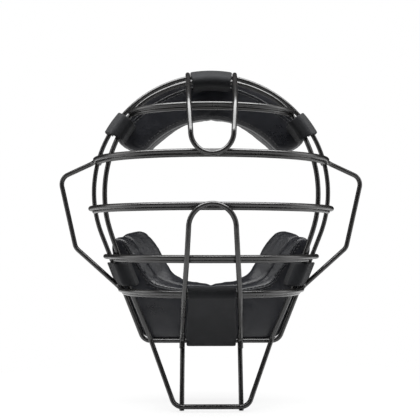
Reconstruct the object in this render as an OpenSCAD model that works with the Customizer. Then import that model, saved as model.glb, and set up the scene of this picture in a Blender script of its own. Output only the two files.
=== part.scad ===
// Umpire face mask: welded wire cage, two padded cushions and six hook-and-loop tabs.
// +X is the viewer's right, -Y the front of the cage, +Y the wearer's head, +Z up.

/* [Wire] */
// diameter of the bars, loops and throat guard
bar_wire_d = 4; // [3.6:0.1:4.4]
// diameter of the rim that faces the wearer
rim_wire_d = 3.8; // [3.4:0.1:4.2]
// depth that two crossing wires melt into each other
weld_bite = 0.2; // [0.1:0.05:0.3]

/* [Head opening] */
// width of the rear rim between wire centres
opening_w = 202; // [196:1:208]
// height of the rear rim between wire centres
opening_h = 228.6; // [220:1:236]
// lean of the rim's sides below the cheek
jaw_taper = 21.8; // [20:0.2:23]
// bend radius of the rim at the chin
chin_bend_r = 9; // [7:0.5:12]

/* [Front rim] */
// height of its top below the rear rim's
front_top_drop = 8.3; // [7:0.1:10]
// distance of its top in front of the rear rim
front_top_reach = 19; // [17:0.5:22]
// half width at the brow bar
front_brow_x = 85; // [83:0.5:87]
// half width at the eye bar
front_eye_x = 87; // [84:0.5:88]
// half width at the nose bar
front_nose_x = 75; // [73:0.5:77]
// half width at the mouth bar
front_mouth_x = 66.5; // [64:0.5:68]
// half width where it crosses the chin
front_chin_x = 51; // [48:0.5:53]

/* [Cross bars] */
// height of the forehead bar
forehead_z = 79.5; // [77:0.5:82]
// height of the brow bar
brow_z = 40; // [38:0.5:42]
// height of the eye bar
eye_z = -1.6; // [-4:0.2:1]
// height of the nose bar
nose_z = -42; // [-44:0.5:-40]
// height of the mouth bar
mouth_z = -70; // [-72:0.5:-68]
// distance of the forehead bar in front of the rear rim
forehead_reach = 60; // [57:0.5:63]
// distance of the brow bar in front of the rear rim
brow_reach = 76.8; // [74:0.2:80]
// distance of the eye bar in front of the rear rim
eye_reach = 85; // [82:0.5:88]
// distance of the nose bar in front of the rear rim
nose_reach = 82; // [80:0.5:84]
// distance of the mouth bar in front of the rear rim
mouth_reach = 66.5; // [64:0.5:69]
// half width of the forehead bar
forehead_half_w = 73.5; // [71:0.5:76]
// height that a backing wire lies below its bar
pair_drop = 2.3; // [1.8:0.1:2.8]

/* [Ear guards] */
// half width at the upper corner
ear_top_x = 130.7; // [125:0.5:134]
// height of the upper corner
ear_top_z = 25.2; // [22:0.5:28]
// half width at the lower corner
ear_low_x = 116.9; // [112:0.5:120]
// height of the lower corner
ear_low_z = -34.8; // [-38:0.5:-32]
// bend radius of the corners
ear_bend_r = 9; // [7:0.5:11]
// distance of the corners behind the rear rim
ear_back = 3; // [0:0.5:6]

/* [Centre loops] */
// bend radius of the crown loop
crown_loop_r = 16.6; // [15:0.2:18]
// half spacing of the crown loop's ends
crown_end_x = 20.3; // [19.5:0.1:22]
// bend radius of the nose loop
nose_loop_r = 18; // [16.5:0.5:19]
// half spacing of the nose loop's ends
nose_end_x = 24.9; // [24:0.1:27]

/* [Throat guard] */
// height of its bottom bar
throat_z = -164.4; // [-170:0.5:-160]
// distance of its bottom bar in front of the rear rim
throat_reach = 30; // [26:0.5:34]
// half width at its bottom corners
throat_corner_x = 30; // [29:0.5:33]
// bend radius of its corners
throat_bend_r = 9; // [7:0.5:10]
// length of a post past the bottom bar
post_tail = 3.4; // [2.5:0.1:4.5]

/* [Pads] */
// depth of a pad behind the rear rim
pad_depth = 28; // [24:0.5:32]
// thickness of a pad's front panel
panel_t = 8; // [6:0.5:10]
// height of the crown on the face side
pad_crown = 3; // [1:0.5:4]
// radial height of the upper pad at its middle
brow_pad_h = 36.5; // [33:0.5:38]
// angle of the upper pad's ends above the horizontal
brow_pad_end = 28; // [25:0.5:29]
// height of the lower pad's front at the chin
chin_pad_h = 43.5; // [41:0.5:45]
// rise of the lower pad's rear edge above its front edge
chin_pad_rise = 7.5; // [5:0.5:9]
// height of the lower pad's cheek tips
cheek_tip_z = -30; // [-34:0.5:-28]

/* [Tabs] */
// thickness of the webbing
tab_t = 2.4; // [2:0.1:2.8]
// width of a corner tab along the rim
corner_tab_w = 21; // [18:0.5:21]
// height of a cheek tab between its level edges
cheek_tab_h = 19; // [17:0.5:20]
// length of the tongue that closes a tab
tongue_l = 20; // [16:0.5:22]
// thickness of a hook patch
hook_t = 0.7; // [0.5:0.1:0.9]
// thickness of a loop patch
loop_t = 0.9; // [0.7:0.1:1.1]

/* [Clearances] */
// between webbing or padding and what it lies on
soft_gap = 0.3; // [0.2:0.05:0.4]
// between paired wires, and between hook and loop
close_gap = 0.06; // [0.04:0.01:0.1]

/* [Hidden] */

wire_sides = 12;
bend_step = 15;
black = [0.07, 0.07, 0.08];
leather = [0.12, 0.12, 0.14];
webbing = [0.2, 0.2, 0.21];

// laps: distance between the centres of two wires welded across each other
lap = bar_wire_d - weld_bite;
rim_lap = (bar_wire_d + rim_wire_d) / 2 - weld_bite;
pair_in = sqrt(pow(bar_wire_d + close_gap, 2) - pow(pair_drop, 2));

// rear rim: a round crown over two leaning sides and a flat chin
crown_r = opening_w / 2;
crown_z = opening_h / 2 - crown_r;
chin_z = -opening_h / 2;
front_top_z = opening_h / 2 - front_top_drop;
side_z = crown_z - crown_r * sin(jaw_taper);
side_x = crown_r * cos(jaw_taper);

function unit(v) = v / norm(v);
function xyz(q) = [q[0], q[1], q[2]];

function rim_x(z) = z > side_z
    ? sqrt(max(0, pow(crown_r, 2) - pow(z - crown_z, 2)))
    : side_x - (side_z - z) * tan(jaw_taper);
function rim_lean(z) = z > side_z ? sqrt(1 - pow((z - crown_z) / crown_r, 2)) : cos(jaw_taper);

// arc of radius r that rounds the corner p between a and b
function fillet(a, p, b, r) =
    let (
        u = unit(p - a),
        w = unit(b - p),
        t = acos(min(1, u * w)),
        n = unit(w - (w * u) * u),
        c = p - u * (r * tan(t / 2)) + n * r,
        m = max(1, ceil(t / bend_step))
    )
    [for (j = [0:m]) c + r * (u * sin(t * j / m) - n * cos(t * j / m))];

// path through corners [x, y, z, bend radius]; a radius of 0 keeps the point
function bend(p) = [
    for (i = [0:len(p) - 1])
        if (i == 0 || i == len(p) - 1 || p[i][3] == 0) xyz(p[i])
        else each fillet(xyz(p[i - 1]), xyz(p[i]), xyz(p[i + 1]), p[i][3])
];

// smooth path that passes through every station
function spline(p, m) = concat(
    [
        for (i = [0:len(p) - 2])
            let (
                b = p[i],
                c = p[i + 1],
                a = i == 0 ? 2 * b - c : p[i - 1],
                d = i == len(p) - 2 ? 2 * c - b : p[i + 2]
            )
            for (j = [0:m - 1])
                let (t = j / m)
                0.5 * (2 * b + (c - a) * t + (2 * a - 5 * b + 4 * c - d) * t * t
                    + (3 * b - a - 3 * c + d) * t * t * t)
    ],
    [p[len(p) - 1]]
);

function flip(p) = [for (q = p) [-q[0], q[1], q[2]]];
function reverse(p) = [for (i = [len(p) - 1:-1:0]) p[i]];
function tail(p) = [for (i = [1:len(p) - 1]) p[i]];
function head(p) = [for (i = [0:len(p) - 2]) p[i]];

// whole path from its right half, which starts in the middle plane
function both(h) = concat(flip(reverse(tail(h))), h);
// closed path from its right half, which starts and ends in the middle plane
function ring(h) = concat(h, flip(reverse(head(tail(h)))));

function distinct(p) = [for (i = [0:len(p) - 1]) if (i == 0 || norm(p[i] - p[i - 1]) > 0.25) p[i]];

function carry(t, n, i = 0, out = []) = i == len(t)
    ? out
    : let (m = unit(n - (n * t[i]) * t[i])) carry(t, m, i + 1, concat(out, [m]));

// round wire along a path, closed on itself or with flat cut ends
module wire(path, d, closed = false) {
    p = distinct(path);
    n = len(p);
    t = [
        for (i = [0:n - 1])
            let (
                a = closed ? p[(i + n - 1) % n] : p[max(0, i - 1)],
                b = closed ? p[(i + 1) % n] : p[min(n - 1, i + 1)],
                u = norm(p[i] - a) > 0 ? unit(p[i] - a) : [0, 0, 0],
                w = norm(b - p[i]) > 0 ? unit(b - p[i]) : [0, 0, 0]
            )
            unit(u + w)
    ];
    k = carry(t, unit(cross(t[0], abs(t[0][1]) > 0.8 ? [0, 0, 1] : [0, 1, 0])));
    s = wire_sides;
    points = [
        for (i = [0:n - 1])
            let (f = cross(t[i], k[i]))
            for (j = [0:s - 1])
                p[i] + d / 2 * (k[i] * cos(360 * j / s) + f * sin(360 * j / s))
    ];
    last = closed ? n - 1 : n - 2;
    walls = [
        for (i = [0:last])
            for (j = [0:s - 1])
                let (
                    a = i * s,
                    b = ((i + 1) % n) * s,
                    j1 = (j + 1) % s
                )
                each [[a + j, a + j1, b + j1], [a + j, b + j1, b + j]]
    ];
    caps = closed ? [] : [
        [for (j = [s - 1:-1:0]) j],
        [for (j = [0:s - 1]) (n - 1) * s + j]
    ];
    polyhedron(points = points, faces = [for (f = concat(walls, caps)) reverse(f)], convexity = 6);
}

// plan curve of a bar: half width a, reach b
function bar_at(a, b, z, t) = [a * sin(t), -b * cos(t), z];
function bar_half(a, b, z, end, m) = [for (k = [0:m]) bar_at(a, b, z, end * k / m)];
function bar_y(a, b, x) = -b * sqrt(max(0, 1 - pow(x / a, 2)));

// a bar's end lies on the front and outer side of the rear rim, its backing wire's on the front
seat = (rim_wire_d / 2 - weld_bite) * sin(45);
function bar_a(z) = rim_x(z) + (bar_wire_d / 2 + seat) / rim_lean(z);
function bar_end(b) = acos(seat / b);
function backing_end(b) = acos((rim_wire_d / 2 - weld_bite) / b);

brow_a = bar_a(brow_z);
eye_a = bar_a(eye_z);
nose_a = bar_a(nose_z);
mouth_a = bar_a(mouth_z);

// the front rim runs a lap behind a wire of half width a and reach b, and leans by tilt where it passes it
function beside(t, a, b) = unit([b * sin(t), -a * cos(t)]);
function station(x, z, a, b, tilt) =
    let (
        n = beside(asin((x + lap) / a), a, b),
        t = asin(min(1, (x + lap * n[0]) / a)),
        m = beside(t, a, b) * lap / cos(tilt)
    )
    [a * sin(t) - m[0], -b * cos(t) - m[1], z];
forehead_x = forehead_half_w * 0.9;
front_stations = [
    [-forehead_x * 0.55, -front_top_reach, front_top_z - 6.8],
    [0, -front_top_reach, front_top_z],
    [forehead_x * 0.55, -front_top_reach, front_top_z - 6.8],
    station(forehead_x, forehead_z, forehead_half_w, forehead_reach, 12),
    station(front_brow_x, brow_z - pair_drop, brow_a - 1 - pair_in, brow_reach - pair_in, 12),
    station(front_eye_x, eye_z - pair_drop, eye_a - pair_in, eye_reach - pair_in, 11),
    station(front_nose_x, nose_z - pair_drop, nose_a - pair_in, nose_reach - pair_in, 11),
    station(front_mouth_x, mouth_z - pair_drop, mouth_a - 1 - pair_in, mouth_reach - pair_in, 20),
    [front_chin_x, -rim_lap, chin_z],
    [2 * front_chin_x - front_mouth_x + 2, -throat_reach * 0.7, 1.8 * chin_z - 0.8 * mouth_z]
];
front_all = spline(front_stations, 4);
front_upper = [for (i = [4:4 * 8]) front_all[i]];
front_half = concat(
    head(front_upper),
    bend([
        [front_chin_x, -rim_lap, chin_z, 0],
        [throat_corner_x, -throat_reach, throat_z, throat_bend_r],
        [0, -throat_reach, throat_z, 0]
    ])
);

// point of the front rim where it crosses the plane through o square to t
function front_cut(o, t) =
    let (hits = [
        for (i = [0:len(front_half) - 2])
            let (
                a = (front_half[i] - o) * t,
                b = (front_half[i + 1] - o) * t
            )
            if ((a <= 0) != (b <= 0)) front_half[i] + (front_half[i + 1] - front_half[i]) * (a / (a - b))
    ])
    hits[0];

module rear_rim() {
    color(black)
        wire(ring(concat(
            [for (a = [90:-6:-jaw_taper]) [crown_r * cos(a), 0, crown_z + crown_r * sin(a)]],
            bend([
                [side_x, 0, side_z, 0],
                [rim_x(chin_z), 0, chin_z, chin_bend_r],
                [0, 0, chin_z, 0]
            ])
        )), rim_wire_d, true);
}

module front_rim() {
    color(black)
        wire(ring(front_half), bar_wire_d, true);
}

module forehead_bar() {
    color(black)
        wire(both(bar_half(forehead_half_w, forehead_reach, forehead_z,
            asin((forehead_x + 3) / forehead_half_w), 9)), bar_wire_d);
}

module forehead_backing() {
    a = forehead_half_w - pair_in;
    color(black)
        wire(both(bar_half(a, forehead_reach - pair_in, forehead_z - pair_drop,
            asin((forehead_x - 0.2) / a), 8)), bar_wire_d);
}

module brow_backing() {
    a = brow_a - 1 - pair_in;
    b = brow_reach - pair_in;
    color(black)
        wire(both(bar_half(a, b, brow_z - pair_drop, backing_end(b), 12)), bar_wire_d);
}

module eye_bar() {
    color(black)
        wire(both(bar_half(eye_a, eye_reach, eye_z, bar_end(eye_reach), 12)), bar_wire_d);
}

module eye_backing() {
    a = eye_a - pair_in;
    b = eye_reach - pair_in;
    color(black)
        wire(both(bar_half(a, b, eye_z - pair_drop, backing_end(b), 12)), bar_wire_d);
}

module nose_bar() {
    color(black)
        wire(both(bar_half(nose_a, nose_reach, nose_z, bar_end(nose_reach), 12)), bar_wire_d);
}

module nose_backing() {
    a = nose_a - pair_in;
    color(black)
        wire(both(bar_half(a, nose_reach - pair_in, nose_z - pair_drop, asin((front_nose_x + 3) / a), 10)),
            bar_wire_d);
}

module mouth_backing() {
    a = mouth_a - 1 - pair_in;
    b = mouth_reach - pair_in;
    color(black)
        wire(both(bar_half(a, b, mouth_z - pair_drop, backing_end(b), 11)), bar_wire_d);
}

// one closed wire: brow bar, round both ears and back along the mouth bar
ear_turn_r = 8;
ear_seat = (rim_lap - ear_turn_r * (1 / cos(30) - 1)) * sin(45);
module brow_ear_mouth_loop() {
    brow_end = acos(13 / brow_reach);
    mouth_end = acos(13 / mouth_reach);
    top = bar_half(brow_a - 1, brow_reach, brow_z, brow_end, 11);
    low = bar_half(mouth_a - 1, mouth_reach, mouth_z, mouth_end, 10);
    color(black)
        wire(ring(concat(
            head(top),
            bend([
                [top[11][0], top[11][1], top[11][2], 0],
                [rim_x(brow_z - 1) + ear_seat, -ear_seat, brow_z - 1, ear_turn_r],
                [ear_top_x, ear_back, ear_top_z, ear_bend_r],
                [ear_low_x, ear_back, ear_low_z, ear_bend_r],
                [rim_x(mouth_z + 1) + ear_seat / cos(jaw_taper), -ear_seat, mouth_z + 1, ear_turn_r],
                [low[10][0], low[10][1], low[10][2], 0]
            ]),
            reverse(head(low))
        )), bar_wire_d, true);
}

// the crown loop hangs from the rims and rounds off in front of the brow bar
crown_loop_z = brow_z - bar_wire_d / 2 + crown_loop_r;
crown_lap = rim_lap - 0.15;
crown_bar_x = crown_end_x - (crown_end_x - crown_loop_r) / 2;
module crown_loop() {
    over = front_cut([crown_end_x, 0, 0], [1, 0, 0]);
    bar = [crown_bar_x, bar_y(forehead_half_w, forehead_reach, crown_bar_x), forehead_z];
    rise = atan2(over[2] - brow_z, over[1] + brow_reach);
    arc = [
        for (a = [-90:15:0])
            let (x = crown_loop_r * cos(a))
            [x, bar_y(brow_a - 1, brow_reach, x) - lap, crown_loop_z + crown_loop_r * sin(a)]
    ];
    color(black)
        wire(both(concat(
            head(arc),
            spline([
                arc[6],
                bar + lap * [0, -sin(rise), cos(rise)],
                [over[0] - 0.6, over[1] - lap * sin(32), over[2] + lap * cos(32)],
                [crown_end_x, -crown_lap * sin(42), rim_top(crown_end_x) + crown_lap * cos(42)]
            ], 4)
        )), bar_wire_d);
}
function rim_top(x) = crown_z + sqrt(pow(crown_r, 2) - x * x);

// posts stand in front of the chin bar and behind the throat bar
post_lean = atan((throat_reach - 2 * lap - 0.6) / (chin_z - throat_z));
post_x = nose_end_x - 0.5;
function post_y(z) = -rim_lap / cos(post_lean) - (chin_z - z) * tan(post_lean);
post_top_z = chin_z + 3.4;
post_end_z = throat_z - post_tail;

module throat_post(side) {
    color(black)
        translate([side * post_x, post_y(post_end_z), post_end_z])
            rotate([-post_lean, 0, 0])
                cylinder(h = (post_top_z - post_end_z) / cos(post_lean), d = bar_wire_d, $fn = 24);
}

module throat_post_l() throat_post(-1);
module throat_post_r() throat_post(1);

// front of the direction u in a plane of constant x
function ahead(u) = unit([0, u[2], -u[1]]);

// the nose loop arches over the eye bar, bends over the mouth bar and ends on the throat posts
leg_bend_r = 8;
module nose_loop() {
    top_z = eye_z + 0.4;
    nose_x = nose_loop_r + 1.3;
    mouth_x = nose_x + 2.4;
    arc = [
        for (a = [90:-15:0])
            let (x = nose_loop_r * cos(a))
            [x, bar_y(eye_a, eye_reach, x) - lap, top_z - nose_loop_r + nose_loop_r * sin(a)]
    ];
    gap_y = lap / cos(post_lean);
    over_nose = [nose_x, bar_y(nose_a, nose_reach, nose_x) - lap / cos(14), nose_z];
    mouth_bar = [mouth_x, bar_y(mouth_a - 1, mouth_reach, mouth_x), mouth_z];
    foot = [nose_end_x, post_y(chin_z + 3) - gap_y, chin_z + 3];
    n1 = ahead(mouth_bar - [0, lap, 0] - over_nose);
    n2 = ahead(foot - mouth_bar);
    turn = acos(n1 * n2) / 2;
    corner = mouth_bar + (n1 + n2) / (1 + n1 * n2) * (leg_bend_r - (leg_bend_r - lap) * cos(turn));
    low = spline([arc[6], over_nose, corner + (over_nose - corner) * 0.3], 4);
    color(black)
        wire(both(concat(
            head(arc),
            bend([
                for (q = low) [q[0], q[1], q[2], 0],
                [corner[0], corner[1], corner[2], leg_bend_r],
                [foot[0], foot[1], foot[2], 5],
                [nose_end_x, post_y(chin_z - 5) - gap_y, chin_z - 5, 0]
            ])
        )), bar_wire_d);
}

// superellipse corner between 0 and 1 of a side
function puff(v) = sign(v) * pow(abs(v), 0.5);

// section of a pad between its outer edge o, inner front edge f and inner rear edge r, all as [x, z]
pad_points = 16;
function pad_section(o, f, r, y0, y1, crown, k) =
    let (mid = (o + (f + r) / 2) / 2, ym = (y0 + y1) / 2)
    [
        for (j = [0:pad_points - 1])
            let (
                u = puff(cos(360 * j / pad_points)),
                v = puff(sin(360 * j / pad_points)),
                inner = f + (r - f) * (v + 1) / 2,
                p = mid + (inner + (o - inner) * (u + 1) / 2 - mid) * k,
                y = ym + ((y1 - y0) / 2 * v + crown * max(0, v) * (1 - u * u)) * (0.4 + 0.6 * k)
            )
            [p[0], y, p[1]]
    ];

// solid through sections in order; turned says which way they run
module loft(sections, turned) {
    n = len(sections);
    s = pad_points;
    walls = [
        for (i = [0:n - 2])
            for (j = [0:s - 1])
                let (j1 = (j + 1) % s, a = i * s, b = a + s)
                each [[a + j, a + j1, b + j1], [a + j, b + j1, b + j]]
    ];
    caps = [
        for (j = [1:s - 2]) [0, j + 1, j],
        for (j = [1:s - 2]) [(n - 1) * s, (n - 1) * s + j, (n - 1) * s + j + 1]
    ];
    faces = concat(walls, caps);
    polyhedron(
        points = [for (q = sections) each q],
        faces = turned ? [for (f = faces) reverse(f)] : faces,
        convexity = 6
    );
}

// heights above the rear rim's wire centre: webbing, hook, loop, and the pad's wall under them
tab_in = rim_wire_d / 2 + soft_gap;
tab_mid = tab_in + tab_t / 2;
hook_in = tab_in - hook_t;
loop_out = hook_in - close_gap;
pad_wall = loop_out - loop_t - soft_gap;
pad_y = rim_wire_d / 2 + soft_gap - 0.8;
fold_y = rim_wire_d / 2 + soft_gap + 1.4;
fold_gap = 0.3;

pad_rear = pad_y + pad_depth;
panel_rear = pad_y + panel_t;
panel_share = panel_t / pad_depth;
cushion_y = panel_rear + soft_gap;

function whole(s) = concat(reverse([for (i = [1:len(s) - 1]) flip(s[i])]), s);
function cap_k(d, l) = d >= l ? 1 : max(0.3, sqrt(max(0, 1 - pow((l - d) / l, 2))));

// upper pad: an arc under the rim, from the middle to its lobed end
brow_ends = 90 - brow_pad_end;
brow_steps = [0, 0.17, 0.34, 0.51, 0.67, 0.8, 0.88, 0.93, 0.97, 1];
function polar(r, a) = [r * cos(a), crown_z + r * sin(a)];
function brow_sections(y0, y1, s0, s1, crown) = [
    for (g = brow_steps)
        let (
            a = 90 - brow_ends * g,
            rear = crown_r - brow_pad_h + 4.5 * g * g,
            front = rear + 2,
            k = cap_k(brow_ends * (1 - g), 7)
        )
        pad_section(polar(crown_r + pad_wall, a), polar(front + (rear - front) * s0, a),
            polar(front + (rear - front) * s1, a), y0, y1, crown, k)
];

module brow_pad_panel() {
    color(leather)
        loft(whole(brow_sections(pad_y, panel_rear, 0, panel_share, 0)), false);
}

module brow_pad_cushion() {
    color(leather)
        loft(whole(brow_sections(cushion_y, pad_rear, panel_share, 1, pad_crown)), false);
}

// lower pad: outer edge on the rim; front and rear inner edges as offsets from it
chin_pad_z = chin_z - pad_wall;
chin_out = spline([
    [0, chin_pad_z],
    [rim_x(chin_z) - 30, chin_pad_z],
    [rim_x(chin_z + 9) - 1, chin_z + 9],
    [rim_x(chin_z + 25) + pad_wall / cos(jaw_taper), chin_z + 25],
    [rim_x(chin_z + 52) + pad_wall / cos(jaw_taper), chin_z + 52],
    [rim_x(cheek_tip_z) - 3, cheek_tip_z]
], 2);
chin_front = spline([
    [0, chin_pad_h],
    [-4, chin_pad_h],
    [-10, chin_pad_h - 4],
    [-9.5, chin_pad_h - 10],
    [-10.5, chin_pad_h - 22],
    [-10.5, 5.5]
], 2);
chin_rear = spline([
    [0, chin_pad_rise],
    [-10, chin_pad_rise],
    [-17, chin_pad_rise],
    [-19, chin_pad_rise + 1],
    [-19.5, chin_pad_rise],
    [-16.5, chin_pad_rise]
], 2);
function chin_sections(y0, y1, s0, s1, crown) = [
    for (i = [0:10])
        let (
            o = [chin_out[i][0], max(chin_out[i][1], chin_pad_z)],
            f = o + chin_front[i],
            r = f + chin_rear[i],
            k = i > 8 ? (i > 9 ? 0.45 : 0.9) : 1
        )
        pad_section(o, f + (r - f) * s0, f + (r - f) * s1, y0, y1, crown, k)
];

module chin_pad_panel() {
    color(leather)
        loft(whole(chin_sections(pad_y, panel_rear, 0, panel_share, 0)), true);
}

module chin_pad_cushion() {
    color(leather)
        loft(whole(chin_sections(cushion_y, pad_rear, panel_share, 1, pad_crown)), true);
}

// webbing of thickness t along a flat path
function ribbon(p, t) =
    let (
        n = len(p),
        side = [
            for (i = [0:n - 1])
                let (
                    u = i > 0 ? unit(p[i] - p[i - 1]) : unit(p[1] - p[0]),
                    w = i < n - 1 ? unit(p[i + 1] - p[i]) : u,
                    m = unit(u + w)
                )
                [-m[1], m[0]] / (m * u)
        ]
    )
    concat(
        [for (i = [0:n - 1]) p[i] + side[i] * t / 2],
        reverse([for (i = [0:n - 1]) p[i] - side[i] * t / 2])
    );

// arc of radius r about c in a flat path
function arc_about(c, r, a0, a1) =
    let (m = max(1, ceil(abs(a1 - a0) / bend_step)))
    [for (j = [0:m]) let (a = a0 + (a1 - a0) * j / m) c + r * [cos(a), sin(a)]];

// direction in which webbing stretched over the rear rim and a wire at c leaves them both
wrap_r = bar_wire_d / 2 + soft_gap + tab_t / 2;
function stretch_a(c) = atan2(c[0], -c[1]) - asin((tab_mid - wrap_r) / norm(c));

// webbing from the fold behind the rear rim, round the front rim between hi and lo, and back to the pad
function wrap(hi, lo, yb) =
    let (a = stretch_a([hi, yb]))
    concat(
        [[tab_mid, fold_y]],
        arc_about([0, 0], tab_mid, 0, a),
        arc_about([hi, yb], wrap_r, a, -90),
        hi - lo > 0.3 ? arc_about([lo, yb], wrap_r, -90, -180) : tail(arc_about([hi, yb], wrap_r, -90, -180)),
        [[min(lo, hi) - wrap_r, pad_y - soft_gap]]
    );

// places what it is given on the round crown, centred at angle a and w wide along the wire
module on_crown(a, w) {
    g = w / crown_r * 180 / PI;
    translate([0, 0, crown_z])
        rotate([-90, 0, 0])
            rotate([0, 0, -a - g / 2])
                rotate_extrude(angle = g, $fn = 180)
                    translate([crown_r, 0])
                        children();
}

module on_jaw(z, w) {
    translate([rim_x(z), 0, z])
        rotate([0, jaw_taper, 0])
            linear_extrude(height = w, center = true)
                children();
}

module on_chin(w) {
    translate([0, 0, chin_z])
        rotate([0, 90, 0])
            linear_extrude(height = w, center = true)
                children();
}

module tongue_form() {
    translate([tab_in, fold_y + fold_gap])
        square([tab_t, tongue_l]);
}

module hook_form() {
    translate([hook_in, fold_y + 4])
        square([hook_t, tongue_l - 5]);
}

module loop_form() {
    translate([loop_out - loop_t, fold_y + 3])
        square([loop_t, tongue_l - 2]);
}

// crown tab: between the legs of the crown loop
crown_tab_w = 2 * (crown_end_x - bar_wire_d / 2 - 0.6);
crown_b = front_cut([0.5, 0, 0], [1, 0, 0]);
crown_p = crown_b[2] - crown_z - crown_r;
module crown_tab() {
    color(webbing)
        on_crown(90, crown_tab_w)
            polygon(ribbon(wrap(crown_p, crown_p, crown_b[1]), tab_t));
}
module crown_tongue() {
    color(webbing)
        on_crown(90, crown_tab_w) tongue_form();
}
module crown_hook() {
    color(black)
        on_crown(90, crown_tab_w - 6) hook_form();
}
module crown_loop_patch() {
    color(webbing)
        on_crown(90, crown_tab_w - 4) loop_form();
}

// corner tabs: beside the ends of the forehead bar
corner_half = corner_tab_w / 2 / crown_r * 180 / PI;
corner_a = atan2(forehead_z - bar_wire_d - crown_z, forehead_x + 3) - corner_half - 1;
function crown_cut(a) = let (b = front_cut([0, 0, crown_z], [-sin(a), 0, cos(a)])) [
    norm([b[0], b[2] - crown_z]) - crown_r,
    b[1]
];
corner_cuts = [for (a = [-1:1]) crown_cut(corner_a + a * corner_half)];
corner_wrap = wrap(
    max([for (c = corner_cuts) c[0]]),
    min([for (c = corner_cuts) c[0]]),
    min([for (c = corner_cuts) c[1]])
);

module mirrored(side) {
    if (side < 0)
        mirror([1, 0, 0]) children();
    else
        children();
}

module corner_tab(side) {
    color(webbing)
        mirrored(side) on_crown(corner_a, corner_tab_w) polygon(ribbon(corner_wrap, tab_t));
}
module corner_tongue(side) {
    color(webbing)
        mirrored(side) on_crown(corner_a, corner_tab_w) tongue_form();
}
module corner_hook(side) {
    color(black)
        mirrored(side) on_crown(corner_a, corner_tab_w - 6) hook_form();
}
module corner_loop_patch(side) {
    color(webbing)
        mirrored(side) on_crown(corner_a, corner_tab_w - 4) loop_form();
}
module corner_tab_l() corner_tab(-1);
module corner_tongue_l() corner_tongue(-1);
module corner_hook_l() corner_hook(-1);
module corner_loop_patch_l() corner_loop_patch(-1);
module corner_tab_r() corner_tab(1);
module corner_tongue_r() corner_tongue(1);
module corner_hook_r() corner_hook(1);
module corner_loop_patch_r() corner_loop_patch(1);

// cheek tabs: level edges under the nose bar, the lower corner cut along the ear guard
cheek_top_z = nose_z - pair_drop - bar_wire_d / 2 - 0.7;
cheek_z = cheek_top_z - cheek_tab_h / 2;
cheek_tab_w = cheek_tab_h / cos(jaw_taper);
jaw_out = [cos(jaw_taper), 0, -sin(jaw_taper)];
jaw_up = [sin(jaw_taper), 0, cos(jaw_taper)];
function jaw_cut(s) =
    let (
        o = [rim_x(cheek_z), 0, cheek_z],
        b = front_cut(o + jaw_up * s, jaw_up)
    )
    [(b - o) * jaw_out, b[1]];
cheek_cuts = [for (s = [-1:1]) jaw_cut(s * cheek_tab_w / 2)];
cheek_wrap = wrap(
    max([for (c = cheek_cuts) c[0]]),
    min([for (c = cheek_cuts) c[0]]),
    min([for (c = cheek_cuts) c[1]])
);

cheek_out_x = ear_low_x;
ear_from = [rim_x(mouth_z + 1) + ear_seat / cos(jaw_taper), mouth_z + 1];
ear_dir = unit([ear_low_x, ear_low_z] - ear_from);
ear_cut = ear_from + [-ear_dir[1], ear_dir[0]] * (bar_wire_d / 2 + soft_gap);

module cheek_tab(side) {
    color(webbing)
        mirrored(side)
            intersection() {
                on_jaw(cheek_z, cheek_tab_w * 2) polygon(ribbon(cheek_wrap, tab_t));
                translate([0, fold_y + 1, 0])
                    rotate([90, 0, 0])
                        linear_extrude(height = brow_reach)
                            polygon([
                                [cheek_out_x, cheek_top_z],
                                [0, cheek_top_z],
                                [0, cheek_top_z - cheek_tab_h],
                                [ear_cut[0] + (ear_cut[1] - cheek_top_z + cheek_tab_h) * ear_dir[0] / ear_dir[1] * -1,
                                    cheek_top_z - cheek_tab_h],
                                ear_cut + ear_dir * 30
                            ]);
            }
}
module cheek_tongue(side) {
    color(webbing)
        mirrored(side) on_jaw(cheek_z, cheek_tab_w) tongue_form();
}
module cheek_hook(side) {
    color(black)
        mirrored(side) on_jaw(cheek_z, cheek_tab_w - 6) hook_form();
}
module cheek_loop_patch(side) {
    color(webbing)
        mirrored(side) on_jaw(cheek_z, cheek_tab_w - 4) loop_form();
}
module cheek_tab_l() cheek_tab(-1);
module cheek_tongue_l() cheek_tongue(-1);
module cheek_hook_l() cheek_hook(-1);
module cheek_loop_patch_l() cheek_loop_patch(-1);
module cheek_tab_r() cheek_tab(1);
module cheek_tongue_r() cheek_tongue(1);
module cheek_hook_r() cheek_hook(1);
module cheek_loop_patch_r() cheek_loop_patch(1);

// chin tab: stretched from the mouth bar down over the chin bar, between the nose loop's legs
mouth_leg_x = nose_loop_r + 3.7;
chin_tab_top = 2 * (mouth_leg_x - bar_wire_d / 2 - 0.9);
chin_tab_low = 2 * (post_x - bar_wire_d / 2 - 1.2);
chin_hem_y = bar_y(mouth_a - pair_in, mouth_reach - pair_in, chin_tab_top / 2) + bar_wire_d / 2
    + soft_gap + tab_t / 2;
chin_c = [chin_z - mouth_z, -mouth_reach];
chin_stretch = stretch_a(chin_c);
chin_wrap = concat(
    [
        [chin_c[0] + pair_drop + bar_wire_d / 2 + 1.6, chin_hem_y],
        [chin_c[0] - wrap_r + 3, chin_hem_y],
        [chin_c[0] - wrap_r + 0.9, chin_hem_y - 0.9],
        [chin_c[0] - wrap_r, chin_hem_y - 3]
    ],
    arc_about(chin_c, wrap_r, -180, chin_stretch),
    arc_about([0, 0], tab_mid, chin_stretch, 0),
    [[tab_mid, fold_y]]
);

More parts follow.
